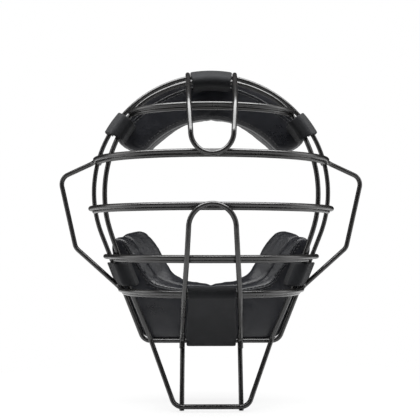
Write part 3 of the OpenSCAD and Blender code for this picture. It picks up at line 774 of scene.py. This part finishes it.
def weld_spots():
    """Places where two wires touch, with the direction from one centre to the other."""
    wires = []
    for name, path, diameter, closed in wire_paths():
        points = resample(path, closed)
        tree = KDTree(len(points))
        for k, q in enumerate(points):
            tree.insert(q, k)
        tree.balance()
        wires.append((name, points, tree, diameter))
    spots = []
    for i, (name_a, points, _, d_a) in enumerate(wires):
        for name_b, _, tree, d_b in wires[i + 1:]:
            if (name_a, name_b) in PAIRED:
                continue
            best = None
            for p in points:
                q, _, d = tree.find(p)
                if d >= (d_a + d_b) / 2 + WELD_REACH:
                    continue
                if best and (p - best[0]).length > WELD_APART:
                    spots.append(best)
                    best = None
                if best is None or d < best[2]:
                    best = (p, q, d)
            if best:
                spots.append(best)
    return [((p + q) / 2, (q - p).normalized()) for p, q, _ in spots]


class MASK_OT_welds(bpy.types.Operator):
    """Adds a painted weld bead wherever two wires cross"""
    bl_idname = "umpire_mask.welds"
    bl_label = "Weld beads"

    def execute(self, context):
        size = context.scene.umpire_mask.weld_size
        spots = weld_spots()
        if len(spots) < 20:
            raise RuntimeError(f"only {len(spots)} weld places found")
        obj = new_object("weld_beads", [p for p, _ in spots], [], [])
        mark_points(obj.data, "across", [c for _, n in spots for c in n])
        bake_nodes(obj, "Weld beads", Length=size, Width=size, Height=size * 0.4,
                   Finish=bpy.data.materials[PAINT])
        place_piece(obj, "mask", "wire")
        return {"FINISHED"}


def stitch_row(name, path, yarn, body, slot_name, pitch):
    obj = path_object(name, path)
    bake_nodes(obj, "Stitch row", Pitch=pitch, Length=pitch * 0.8, Width=0.0009, Height=0.0007, Finish=yarn)
    place_piece(obj, body, slot_name)


# ---- pads

SOFT_GAP, TAB_T, HOOK_T, LOOP_T, TONGUE_L = 0.3, 2.4, 0.7, 0.9, 20.0
TAB_IN = RIM_D / 2 + SOFT_GAP
TAB_MID = TAB_IN + TAB_T / 2
HOOK_IN = TAB_IN - HOOK_T
LOOP_OUT = HOOK_IN - CLOSE_GAP
PAD_WALL = LOOP_OUT - LOOP_T - SOFT_GAP
PAD_Y = RIM_D / 2 + SOFT_GAP - 0.8
FOLD_Y = RIM_D / 2 + SOFT_GAP + 1.4
PAD_DEPTH, PANEL_T, PAD_CROWN = 28.0, 8.0, 3.0
PAD_REAR = PAD_Y + PAD_DEPTH
PANEL_REAR = PAD_Y + PANEL_T
PANEL_SHARE = PANEL_T / PAD_DEPTH
CUSHION_Y = PANEL_REAR + SOFT_GAP
PANEL_RECESS = 6.0
BROW_PAD_H, BROW_END, BROW_ROUND = 39.5, 28.0, 7
CHIN_PAD_H, CHIN_RISE, CHEEK_TIP_Z = 43.5, 11.0, -30.0
# how far a cushion may bulge past its solid (metres), and how deep its joint to the panel is held flush
PROUD, JOINT_HOLD = 0.0006, 7
# half width, height and squared spread of the folds beside the tabs, in metres
TAB_FOLDS = ((0, 0.106), (0.078, 0.07), (0.082, -0.06), (0, -0.11))
TAB_FOLD_SPREAD = 0.0007


def puff(v, power):
    return math.copysign(abs(v) ** power, v)


def pad_ring(edges, panel, k, points):
    """Rounded section of a panel or cushion, drawn in by k; it is square where the two meet."""
    y0, y1, s0, s1, crown, joint = ((PAD_Y, PANEL_REAR, 0, PANEL_SHARE, 0, 1) if panel else
                                    (CUSHION_Y, PAD_REAR, PANEL_SHARE, 1, PAD_CROWN, -1))
    o, front, rear = edges
    f, r = front + (rear - front) * s0, front + (rear - front) * s1
    mid, ym = (o + (f + r) / 2) / 2, (y0 + y1) / 2
    out = []
    for j in range(points):
        a = 360 * j / points
        power = 0.17 if sind(a) * joint > 0 else 0.5
        u, v = puff(cosd(a), power), puff(sind(a), power)
        inner = f + (r - f) * (v + 1) / 2
        q = mid + (inner + (o - inner) * (u + 1) / 2 - mid) * k
        y = ym + ((y1 - y0) / 2 * v + crown * max(0, v) * (1 - u * u)) * (0.4 + 0.6 * k)
        out.append(Vector((q[0], y, q[1])))
    return out


def polar(r, a):
    return Vector((r * cosd(a), CROWN_Z + r * sind(a)))


def brow_edges(g, panel):
    """Outer, front inner and rear inner edges of the upper pad at share g of its half length."""
    a = 90 - (90 - BROW_END) * g
    outer = CROWN_R + (-PANEL_RECESS - 2.6 * sind(170 * g) if panel else PAD_WALL)
    rear = CROWN_R - BROW_PAD_H + 4.5 * g * g
    return polar(outer, a), polar(rear + 2, a), polar(rear, a)


def brow_rings(panel, points):
    rings = []
    for g in [*np.linspace(0, 0.88, 23), 0.9, 0.92, 0.94, 0.955, 0.97, 0.98, 0.99, 0.996, 1]:
        d = min(1, (90 - BROW_END) * (1 - g) / BROW_ROUND)
        rings.append(pad_ring(brow_edges(g, panel), panel, max(0.12, math.sqrt(1 - (1 - d) ** 2.2)), points))
    return rings


def beside_jaw(rise):
    """Point of the lower pad's outer wall, so far above the chin."""
    return rim_x(CHIN_Z + rise) + PAD_WALL / cosd(JAW_TAPER), CHIN_Z + rise


CHIN_PAD_Z = CHIN_Z - PAD_WALL
CHIN_OUT = [(0, CHIN_PAD_Z), (rim_x(CHIN_Z) - 15, CHIN_PAD_Z), (rim_x(CHIN_Z + 6) - 0.6, CHIN_Z + 6),
            beside_jaw(25), beside_jaw(52), (rim_x(CHEEK_TIP_Z) - 3, CHEEK_TIP_Z)]
CHIN_FRONT = [(0, CHIN_PAD_H), (-18, CHIN_PAD_H), (-10, CHIN_PAD_H - 1.5), (-9.5, CHIN_PAD_H - 10),
              (-10.5, CHIN_PAD_H - 22), (-10.5, 5.5)]
CHIN_REAR = [(0, CHIN_RISE), (-8, CHIN_RISE + 1.8), (-18.5, CHIN_RISE + 5), (-20.4, CHIN_RISE + 2.6),
             (-20.8, CHIN_RISE + 2.6), (-16.5, CHIN_RISE - 0.9)]


def chin_edges(m):
    """Outer, front inner and rear inner edges along half of the lower pad."""
    for o, f, r in zip(spline(CHIN_OUT, m), spline(CHIN_FRONT, m), spline(CHIN_REAR, m)):
        o = Vector((o[0], max(o[1], CHIN_PAD_Z)))
        yield o, o + f, o + f + r


def chin_rings(panel, points, m):
    rings = []
    for i, edges in enumerate(chin_edges(m)):
        d = min(1, (5 - i / m) / 0.5)
        rings.append(pad_ring(edges, panel, max(0.2, (1 - (1 - d) ** 2.6) ** 0.45), points))
    return rings


def loft_object(name, half, cover):
    return tube_object(name, [flip(r) for r in half[:0:-1]] + half, cover)


def skin_tree(mesh):
    """Search tree over a mesh's faces."""
    b = bmesh.new()
    b.from_mesh(mesh)
    tree = BVHTree.FromBMesh(b)
    b.free()
    return tree


def settle(mesh, skin):
    """Brings a stuffed form back within its cover: soft bulges stay, its joint to the panel lies flush."""
    for v in mesh.vertices:
        place, normal, _, _ = skin.find_nearest(v.co)
        over = (v.co - place).dot(normal)
        if over > 0:
            v.co = place + normal * PROUD * math.tanh(over / PROUD)
        hold = min(1, max(0, 1.2 - (v.co[1] / MM - CUSHION_Y) / JOINT_HOLD))
        v.co += (place - v.co) * hold * hold * (3 - 2 * hold)


def push(mesh, offset):
    """Moves a mesh's vertices, each by offset(its place, its normal)."""
    mesh.update()
    normals = [v.normal.copy() for v in mesh.vertices]
    for v, n in zip(mesh.vertices, normals):
        v.co += offset(v.co, n)


def stuff(obj, room=0.0016, voxel=0.004, cap=0.005, frames=20):
    """Fills a sewn cover, cut larger by room: cloth under pressure, held to cap metres of swelling."""
    push(obj.data, lambda co, n: n * room)
    assign(obj.modifiers.new("even mesh", "REMESH"), mode="VOXEL", voxel_size=voxel, use_smooth_shade=True)
    swap_mesh(obj)
    start = [v.co.copy() for v in obj.data.vertices]
    cloth = assign(obj.modifiers.new("stuffing", "CLOTH").settings, quality=5, mass=0.25,
                   tension_stiffness=12, compression_stiffness=10, bending_stiffness=0.6,
                   use_pressure=True, uniform_pressure_force=4.0)
    cloth.effector_weights.gravity = 0
    scene = bpy.context.scene
    for f in range(1, frames + 1):
        scene.frame_set(f)
    swap_mesh(obj)
    scene.frame_set(1)
    for v, q in zip(obj.data.vertices, start):
        move = v.co - q
        if move.length > cap:
            v.co = q + move * (cap / move.length)


def refine(obj):
    assign(obj.modifiers.new("fine", "SUBSURF"), levels=1, render_levels=1)
    swap_mesh(obj)


def relax(mesh):
    b = bmesh.new()
    b.from_mesh(mesh)
    for _ in range(2):
        bmesh.ops.smooth_vert(b, verts=b.verts, factor=0.5,
                              use_axis_x=True, use_axis_y=True, use_axis_z=True)
    b.to_mesh(mesh)
    b.free()


def cushion_object(name, half, cover):
    obj = loft_object(name, half, cover)
    skin = skin_tree(obj.data)
    stuff(obj)
    settle(obj.data, skin)
    relax(obj.data)
    refine(obj)
    settle(obj.data, skin)
    return obj


def near_tabs(co):
    """1 beside the tabs, where the cover is drawn into folds, falling to 0 away from them."""
    return max(math.exp(-((abs(co[0]) - x) ** 2 + (co[2] - z) ** 2) / TAB_FOLD_SPREAD) for x, z in TAB_FOLDS)


def fold(mesh, depth, scale, seam_depth, seam_width):
    """Soft folds of a stretched cover, from shallow ridged noise, and a pinch along its middle line."""
    def fold_at(co, n):
        ridge = 1 - abs(noise.noise(co / scale + Vector((3.1, 7.7, 1.3)))) * 2
        return -n * depth * (0.25 + near_tabs(co)) * max(0, ridge - 0.45) ** 2 * 3.3
    push(mesh, fold_at)
    push(mesh, lambda co, n: -n * seam_depth * math.exp(-(co[0] / seam_width) ** 2))


def pad_piece(obj, slot_name, node_name):
    shade_smooth(obj.data)
    place_piece(obj, "mask", slot_name, node_name)


class MASK_OT_pads(bpy.types.Operator):
    """Makes the upper and lower pads: front panels, stuffed cushions, welts and stitches"""
    bl_idname = "umpire_mask.pads"
    bl_label = "Pads"

    def execute(self, context):
        look = context.scene.umpire_mask
        cover = material("Cushion leather", leather, look.leather_color, 0.0017, 0.36)
        facing = material("Panel leather", leather, look.leather_color, 0.0012, 0.3)
        yarn = material("Black thread", thread)
        for pad, half in (("brow", brow_rings(False, 36)), ("chin", chin_rings(False, 36, 8))):
            obj = cushion_object(f"{pad}_cushion", half, cover)
            fold(obj.data, 0.0009, 0.016, 0.0014, 0.0022)
            pad_piece(obj, "pad_cushion", f"{pad}_pad_cushion")
        panels = {}
        for pad, half in (("brow", brow_rings(True, 56)), ("chin", chin_rings(True, 56, 12))):
            obj = panels[pad] = loft_object(f"{pad}_panel", half, facing)
            refine(obj)
            fold(obj.data, 0.0005, 0.018, 0.0005, 0.0016)
            pad_piece(obj, "pad_panel", f"{pad}_pad_panel")
        for name, pad, path, size in seams():
            if size:
                obj = path_object(name, on_skin(panels[pad], path, size * 0.12))
                bake_nodes(obj, "Round wire", Diameter=size * MM, Sides=10, Paint=facing)
                place_piece(obj, "mask", "pad_panel")
            else:
                laid = on_skin(panels[pad], path, 0.1)
                stitch_row(name, laid, yarn, "mask", "pad_panel", look.stitch_pitch)
        return {"FINISHED"}


def edge_line(edges, inset, from_outer=False):
    """Line on a pad's front, inset from its inner or outer edge towards the other one."""
    line = []
    for o, f, _ in edges:
        start, end = (o, f) if from_outer else (f, o)
        x, z = start + (end - start).normalized() * inset
        line.append(Vector((x, PAD_Y, z)))
    return both(line)


def on_skin(obj, path, lift):
    """The path laid on a piece's surface, lift millimetres proud of it."""
    skin = skin_tree(obj.data)
    out = []
    for q in path:
        place, normal, _, _ = skin.find_nearest(q * MM)
        out.append(place / MM + normal * lift)
    return out


def seams():
    """Name, pad, path and diameter of each piped seam on the front panels; a stitched row has no diameter."""
    def brow(reach, count, inset, from_outer=False):
        edges = [brow_edges(g, True) for g in np.linspace(0, reach, count)]
        return "brow", edge_line(edges, inset, from_outer)

    def chin(count, inset):
        return "chin", edge_line(list(chin_edges(12))[:count], inset)
    return [
        ("brow_seam_top", *brow(0.93, 50, 1.1, True), 1.6),
        ("chin_seam", *chin(57, 0.7), 1.3),
        ("brow_stitch_low", *brow(0.9, 60, 3.0), None),
        ("brow_stitch_top", *brow(0.9, 60, 3.6, True), None),
        ("chin_stitch_a", *chin(56, 2.6), None),
        ("chin_stitch_b", *chin(56, -1.4), None),
    ]


# ---- tabs

CROWN_TAB_W = 2 * (CROWN_END_X - BAR_D / 2 - 0.6)
CORNER_TAB_W, CHEEK_TAB_H = 21.0, 19.0
WRAP_R = BAR_D / 2 + SOFT_GAP + TAB_T / 2
FOLD_GAP = 0.3

CORNER_HALF = math.degrees(CORNER_TAB_W / 2 / CROWN_R)
CORNER_A = math.degrees(math.atan2(FOREHEAD[2] - BAR_D - CROWN_Z, FOREHEAD_X + 3)) - CORNER_HALF - 1

CHEEK_TOP_Z = NOSE_Z - PAIR_DROP - BAR_D / 2 - 0.7
CHEEK_Z = CHEEK_TOP_Z - CHEEK_TAB_H / 2
CHEEK_TAB_W = CHEEK_TAB_H / cosd(JAW_TAPER)
JAW_OUT = Vector((cosd(JAW_TAPER), 0, -sind(JAW_TAPER)))
JAW_UP = Vector((sind(JAW_TAPER), 0, cosd(JAW_TAPER)))
CHEEK_BASE = Vector((rim_x(CHEEK_Z), 0, CHEEK_Z))
EAR_FROM = Vector((EAR_FOOT[0], EAR_FOOT[2]))
EAR_DIR = (Vector((EAR_LOW[0], EAR_LOW[2])) - EAR_FROM).normalized()
EAR_CUT = EAR_FROM + Vector((-EAR_DIR[1], EAR_DIR[0])) * (BAR_D / 2 + SOFT_GAP)

CHIN_TAB_TOP = 2 * (NOSE_LOOP_R + 3.7 - BAR_D / 2 - 0.9)
CHIN_TAB_LOW = 2 * (POST_X - BAR_D / 2 - 1.2)


def arc_points(x, y, r, a0, a1, m):
    angles = (a0 + (a1 - a0) * j / m for j in range(m + 1))
    return [Vector((x + r * cosd(a), y + r * sind(a))) for a in angles]


def run(p, q, m):
    """Points from p towards q, without q."""
    p, q = Vector(p), Vector(q)
    return [p + (q - p) * (j / m) for j in range(m)]


def strap_path(x, y, over_steps, span_steps, end, turn_steps):
    """Strap from its tongue's end over the rear rim to a wire at (x, y) and round it to angle end."""
    a = math.degrees(math.atan2(x, -y)) - asind((TAB_MID - WRAP_R) / math.hypot(x, y))
    over = arc_points(0, 0, TAB_MID, 0, a, over_steps)
    front = arc_points(x, y, WRAP_R, a, end, turn_steps)
    tongue_end, fold_end = (TAB_MID, FOLD_Y + FOLD_GAP + TONGUE_L), (TAB_MID, FOLD_Y + 2.5)
    tongue = run(tongue_end, fold_end, 10) + run(fold_end, (TAB_MID, 0), 10)
    return tongue + over[:-1] + run(over[-1], front[0], span_steps) + front


def wrap_path(cuts):
    """Strap round the front rim and back to the pad.

    Points are heights above the rear rim's wire and depths, and so are the cuts through the front rim."""
    x, back, y = max(c[0] for c in cuts), min(c[0] for c in cuts), min(c[1] for c in cuts)
    path = strap_path(x, y, 8, 8, -90, 8)
    front_end = path.pop()
    under = arc_points(back, y, WRAP_R, -90, -180, 9)
    end = Vector((back - WRAP_R, PAD_Y - SOFT_GAP))
    path += run(front_end, under[0], 2) if back < x - 0.1 else []
    return path + under[:-1] + run(under[-1], end, 6) + [end]


def chin_path():
    """Strap round the mouth bar, with its hem turned up behind the bar."""
    x, y = CHIN_Z - MOUTH_Z, -MOUTH[1]
    hem_y = bar_y(behind(cross_bar(MOUTH_Z, MOUTH[1])), CHIN_TAB_TOP / 2) + WRAP_R
    hem = [Vector((x - WRAP_R + dx, hem_y - dy))
           for dx, dy in ((0, 3), (0.25, 1.9), (0.9, 0.9), (1.9, 0.25), (3, 0))]
    return strap_path(x, y, 10, 22, -180, 20) + hem + [Vector((x + PAIR_DROP + BAR_D / 2 + 1.6, hem_y))]


def crown_place(h, y, q):
    a = q * CROWN_TAB_W / 2 / CROWN_R
    return Vector(((CROWN_R + h) * math.sin(a), y, CROWN_Z + (CROWN_R + h) * math.cos(a)))


def crown_cut(a):
    b = front_cut((0, 0, CROWN_Z), (-sind(a), 0, cosd(a)))
    return math.hypot(b[0], b[2] - CROWN_Z) - CROWN_R, b[1]


def corner_place(h, y, q):
    x, z = polar(CROWN_R + h, CORNER_A + CORNER_HALF * q)
    return Vector((x, y, z))


def cheek_cut(s):
    b = front_cut(CHEEK_BASE + JAW_UP * (s * CHEEK_TAB_W / 2), JAW_UP)
    return (b - CHEEK_BASE).dot(JAW_OUT), b[1]


def cheek_place(h, y, q):
    """Level edges at the front, a square tongue, and the corner cut by the ear guard."""
    top = (CHEEK_TOP_Z - CHEEK_Z + sind(JAW_TAPER) * h) / cosd(JAW_TAPER)
    low = top - CHEEK_TAB_W
    turn = min(1, max(0, (y + 2) / (FOLD_Y + 2)))
    top += (CHEEK_TAB_W / 2 - top) * turn
    low += (-CHEEK_TAB_W / 2 - low) * turn
    p = Vector((CHEEK_BASE[0] + JAW_OUT[0] * h, CHEEK_BASE[2] + JAW_OUT[2] * h)) - EAR_CUT
    cut = -(p[0] * EAR_DIR[1] - p[1] * EAR_DIR[0]) / (JAW_UP[0] * EAR_DIR[1] - JAW_UP[2] * EAR_DIR[0])
    low = max(low, cut * (1 - turn) + low * turn) if y < FOLD_Y else low
    return CHEEK_BASE + JAW_OUT * h + JAW_UP * (low + (top - low) * (q + 1) / 2) + Vector((0, y, 0))


def chin_place(h, y, q):
    z = CHIN_Z - h
    share = min(1, max(0, (z - (CHIN_Z + 10)) / ((MOUTH_Z - 10) - (CHIN_Z + 10))))
    return Vector((q / 2 * (CHIN_TAB_LOW + (CHIN_TAB_TOP - CHIN_TAB_LOW) * share), y, z))


def strip_object(name, path, place, width, thickness, cover, across, mirror):
    """Flat strip with rounded selvedges along a path; it stores its length and width in millimetres."""
    def half_at(q):
        share = (1 - abs(q)) * width / thickness
        return thickness / 2 * math.sqrt(max(0, 1 - max(0, 1 - share) ** 2)) + 0.02
    qs = [-cosd(180 * j / across) for j in range(across + 1)]
    loop = [(q, half_at(q)) for q in qs] + [(q, -half_at(q)) for q in qs[-2:0:-1]]
    rings, marks, length = [], [], 0.0
    for i, p in enumerate(path):
        t = (path[min(len(path) - 1, i + 1)] - path[max(0, i - 1)]).normalized()
        n = Vector((-t[1], t[0]))
        length += (p - path[max(0, i - 1)]).length
        row = [place(*(p + n * half), q) for q, half in loop]
        rings.append(flip(row) if mirror else row)
        marks += [c for q, _ in loop for c in (length, q * width / 2, 0)]
    obj = tube_object(name, rings, cover)
    mark_points(obj.data, "along", marks + [0, 0, 0, length, 0, 0])
    return obj


def plate_object(name, h, t, spare, width, y0, y1, place, cover, mirror):
    """Hook or loop patch: a thin strip from y0 to y1 at height h, narrower than its tab by spare."""
    share = (width - spare) / width
    end = Vector((h + t / 2, y0))
    path = run((h + t / 2, y1), end, 12) + [end]
    return strip_object(name, path, lambda a, y, q: place(a, y, q * share), width * share, t, cover, 12,
                        mirror)


def tongue_seam(place, width, mirror):
    """Stitched rectangle on the back of a tongue, over its hook tape."""
    inset = 1 - 2 * 2.2 / width
    y0, y1 = FOLD_Y + 4.4, FOLD_Y + TONGUE_L - 1.4
    corners = [(y0, -inset), (y0, inset), (y1, inset), (y1, -inset), (y0, -inset)]
    line = []
    for (ya, qa), (yb, qb) in zip(corners, corners[1:]):
        line += [place(TAB_MID + TAB_T / 2 - 0.12, ya + (yb - ya) * j / 16, qa + (qb - qa) * j / 16)
                 for j in range(16)]
    line.append(line[0])
    return flip(line) if mirror else line


def tab_list():
    """Name, side, path, place and width of each tab."""
    b = front_cut((0.5, 0, 0), (1, 0, 0))
    corner = wrap_path([crown_cut(CORNER_A + s * CORNER_HALF) for s in (-1, 0, 1)])
    cheek = wrap_path([cheek_cut(s) for s in (-1, 0, 1)])
    return [
        ("crown", "", wrap_path([(b[2] - CROWN_Z - CROWN_R, b[1])]), crown_place, CROWN_TAB_W),
        ("corner", "_l", corner, corner_place, CORNER_TAB_W),
        ("corner", "_r", corner, corner_place, CORNER_TAB_W),
        ("cheek", "_l", cheek, cheek_place, CHEEK_TAB_W),
        ("cheek", "_r", cheek, cheek_place, CHEEK_TAB_W),
        ("chin", "", chin_path(), chin_place, CHIN_TAB_LOW),
    ]


class MASK_OT_tabs(bpy.types.Operator):
    """Makes the six hook-and-loop tabs: straps that fold at the rear rim, and their patches"""
    bl_idname = "umpire_mask.tabs"
    bl_label = "Tabs"

    def execute(self, context):
        look = context.scene.umpire_mask
        woven = material("Woven webbing", webbing, look.webbing_color)
        hooks = material("Hook tape", hook_tape)
        nap = material("Loop tape", loop_tape, look.webbing_color)
        yarn = material("Tab thread", thread)
        for kind, side, path, place, width in tab_list():
            mirror = side == "_l"
            body = f"{kind}_flap{side}"
            strap = strip_object(f"{kind}_strap{side}", path, place, width, TAB_T, woven, 18, mirror)
            refine(strap)
            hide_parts(f"{kind}_tab{side}", f"{kind}_tongue{side}")
            fold_ends = [place(TAB_MID, FOLD_Y - 1.2, 0) * MM, place(TAB_MID, FOLD_Y + 1.6, 0) * MM]
            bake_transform(strap)
            for slot_name, on, part, h, t, spare, y0, y1, cover in (
                ("hook", body, "hook", HOOK_IN, HOOK_T, 6, 4, TONGUE_L - 1, hooks),
                ("loop", "mask", "loop_patch", LOOP_OUT - LOOP_T, LOOP_T, 4, 3, TONGUE_L + 1, nap),
            ):
                patch = plate_object(f"{kind}_{slot_name}_tape{side}", h, t, spare, width, FOLD_Y + y0,
                                     FOLD_Y + y1, place, cover, mirror)
                place_piece(patch, on, slot_name, f"{kind}_{part}{side}")
            stitch_row(f"{kind}_tongue_stitch{side}", tongue_seam(place, width, mirror), yarn, body,
                       "webbing", look.stitch_pitch)
        return {"FINISHED"}


# ---- stage

# name, place, aim, width, height and power of each lamp
LAMPS = (
    ("top_lamp", (0, -0.2, 1.0), (0, -0.02, 0), 1.6, 0.8, 58),
    ("left_lamp", (-1.15, -0.1, 0.3), (0, 0, -0.02), 0.6, 1.0, 7),
    ("right_lamp", (1.15, -0.1, 0.3), (0, 0, -0.02), 0.6, 1.0, 7),
)
# the floor glows more and more from GLOW_FROM to GLOW_FULL metres round the mask
GLOW_FROM, GLOW_FULL, GLOW_LEAST = 0.05, 0.3, 0.86


def seen_directly(tree):
    """1 for camera and transmission rays, 0 for the others."""
    rays = node("ShaderNodeLightPath", {}, tree)
    return maths("MAXIMUM", rays["Is Camera Ray"], rays["Is Transmission Ray"])


def mix_shaders(kind, share, a, b):
    """Ends a tree with a mix of two shaders."""
    node(kind, {"Surface": node("ShaderNodeMixShader", {"Fac": share, 1: a, 2: b})["Shader"]})


def studio_floor(place, color, low):
    """Matt floor that fades to plain white for the camera away from the mask."""
    tree = place.id_data
    offset = node("ShaderNodeVectorMath", {0: place, 1: (0, -0.03, low)}, operation="SUBTRACT")["Vector"]
    length = node("ShaderNodeVectorMath", {0: offset}, operation="LENGTH")["Value"]
    glowing = times(ramp(length, GLOW_FROM, GLOW_FULL, GLOW_LEAST), seen_directly(tree))
    mix_shaders("ShaderNodeOutputMaterial", glowing,
                node("ShaderNodeBsdfDiffuse", {"Color": color}, tree)["BSDF"],
                node("ShaderNodeEmission", {"Color": WHITE}, tree)["Emission"])


class MASK_OT_stage(bpy.types.Operator):
    """Adds the floor, the soft lamps, the world and the camera"""
    bl_idname = "umpire_mask.stage"
    bl_label = "Studio stage"

    def execute(self, context):
        scene = context.scene
        look = scene.umpire_mask
        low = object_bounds()[0]
        bpy.ops.mesh.primitive_plane_add(size=8, location=(0, 2, low[2] - 0.0002))
        floor = context.object
        floor.name = "floor"
        floor.data.transform(floor.matrix_world)
        floor.matrix_world = Matrix.Identity(4)
        mat = material("Studio floor", studio_floor, (*look.floor_color, 1), low[2])
        floor.data.materials.append(mat)
        floor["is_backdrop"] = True

        scene.world = bpy.data.worlds.new("Soft studio")
        tree = cleared(scene.world)
        light, white = (node("ShaderNodeBackground", {"Color": WHITE, "Strength": s}, tree)["Background"]
                        for s in (look.world_light, 1))
        mix_shaders("ShaderNodeOutputWorld", seen_directly(tree), light, white)

        for name, place, aim, width, height, power in LAMPS:
            data = assign(bpy.data.lights.new(name, "AREA"), shape="RECTANGLE", size=width, size_y=height,
                          energy=power)
            turn = (Vector(aim) - Vector(place)).to_track_quat("-Z", "Y").to_euler()
            assign(into_scene(name, data), location=place, rotation_euler=turn)

        data = assign(bpy.data.cameras.new("photo_camera"), sensor_width=36, lens=look.focal_length,
                      clip_start=0.05)
        turn = (math.radians(90 + look.camera_pitch), 0, -math.radians(look.camera_yaw))
        scene.camera = into_scene("photo_camera", data)
        assign(scene.camera, location=look.camera_place, rotation_euler=turn)
        scene.view_settings.view_transform = "Standard"
        return {"FINISHED"}


# ---- settings and panel

COLOR = {"size": 3, "min": 0, "max": 1, "subtype": "COLOR"}


class MaskSettings(bpy.types.PropertyGroup):
    paint_color: bpy.props.FloatVectorProperty(
        name="Paint", description="Colour of the powder coat on the wires", default=(0.0046, 0.0043, 0.0042),
        **COLOR)
    wire_sides: bpy.props.IntProperty(
        name="Wire sides", description="Facets round a wire", default=20, min=8, max=48)
    floor_color: bpy.props.FloatVectorProperty(
        name="Floor", description="Colour of the studio floor", default=(0.55, 0.55, 0.55),
        **COLOR)
    leather_color: bpy.props.FloatVectorProperty(
        name="Leather", description="Colour of the pads' synthetic leather", default=(0.0035, 0.004, 0.0065),
        **COLOR)
    webbing_color: bpy.props.FloatVectorProperty(
        name="Webbing", description="Colour of the tabs' webbing", default=(0.0056, 0.006, 0.007),
        **COLOR)
    pad_fill: bpy.props.FloatProperty(
        name="Pad fill", description="Share of a pad's CAD solid that its stuffed form fills", default=1.0,
        min=0.5, max=1)
    stitch_pitch: bpy.props.FloatProperty(
        name="Stitch pitch", description="Distance between stitches", default=0.0032, min=0.0015, max=0.008,
        subtype="DISTANCE", unit="LENGTH")
    weld_size: bpy.props.FloatProperty(
        name="Weld size", description="Width of a weld bead", default=0.0037, min=0.001, max=0.008,
        subtype="DISTANCE", unit="LENGTH")
    world_light: bpy.props.FloatProperty(
        name="World light", description="Strength of the light from all round", default=0.035, min=0, max=2)
    focal_length: bpy.props.FloatProperty(
        name="Focal length", description="Focal length of the camera", default=68.83, min=20, max=200,
        unit="CAMERA")
    camera_place: bpy.props.FloatVectorProperty(
        name="Camera", description="Place of the camera", default=(-0.008, -0.692, -0.032), size=3,
        subtype="TRANSLATION", unit="LENGTH")
    camera_pitch: bpy.props.FloatProperty(
        name="Pitch", description="Degrees that the camera looks up", default=2.46, min=-45, max=45)
    camera_yaw: bpy.props.FloatProperty(
        name="Yaw", description="Degrees that the camera looks right", default=0.58, min=-45, max=45)


class MASK_PT_sidebar(bpy.types.Panel):
    """Lists the steps that build the mask"""
    bl_idname = "MASK_PT_sidebar"
    bl_label = "Umpire Mask"
    bl_space_type = "VIEW_3D"
    bl_region_type = "UI"
    bl_category = "Umpire Mask"

    def draw(self, context):
        look = context.scene.umpire_mask
        for name in MaskSettings.__annotations__:
            self.layout.prop(look, name)
        for step in OPERATORS:
            self.layout.operator(step.bl_idname)


OPERATORS = (MASK_OT_stage, MASK_OT_wires, MASK_OT_welds, MASK_OT_pads, MASK_OT_tabs)
CLASSES = (MaskSettings, *OPERATORS, MASK_PT_sidebar)


def register():
    for c in CLASSES:
        bpy.utils.register_class(c)
    bpy.types.Scene.umpire_mask = bpy.props.PointerProperty(type=MaskSettings)


def unregister():
    del bpy.types.Scene.umpire_mask
    for c in reversed(CLASSES):
        bpy.utils.unregister_class(c)


def main():
    register()
    for name in ("stage", "wires", "welds", "pads", "tabs"):
        getattr(bpy.ops.umpire_mask, name)()


if __name__ == "__main__":
    main()
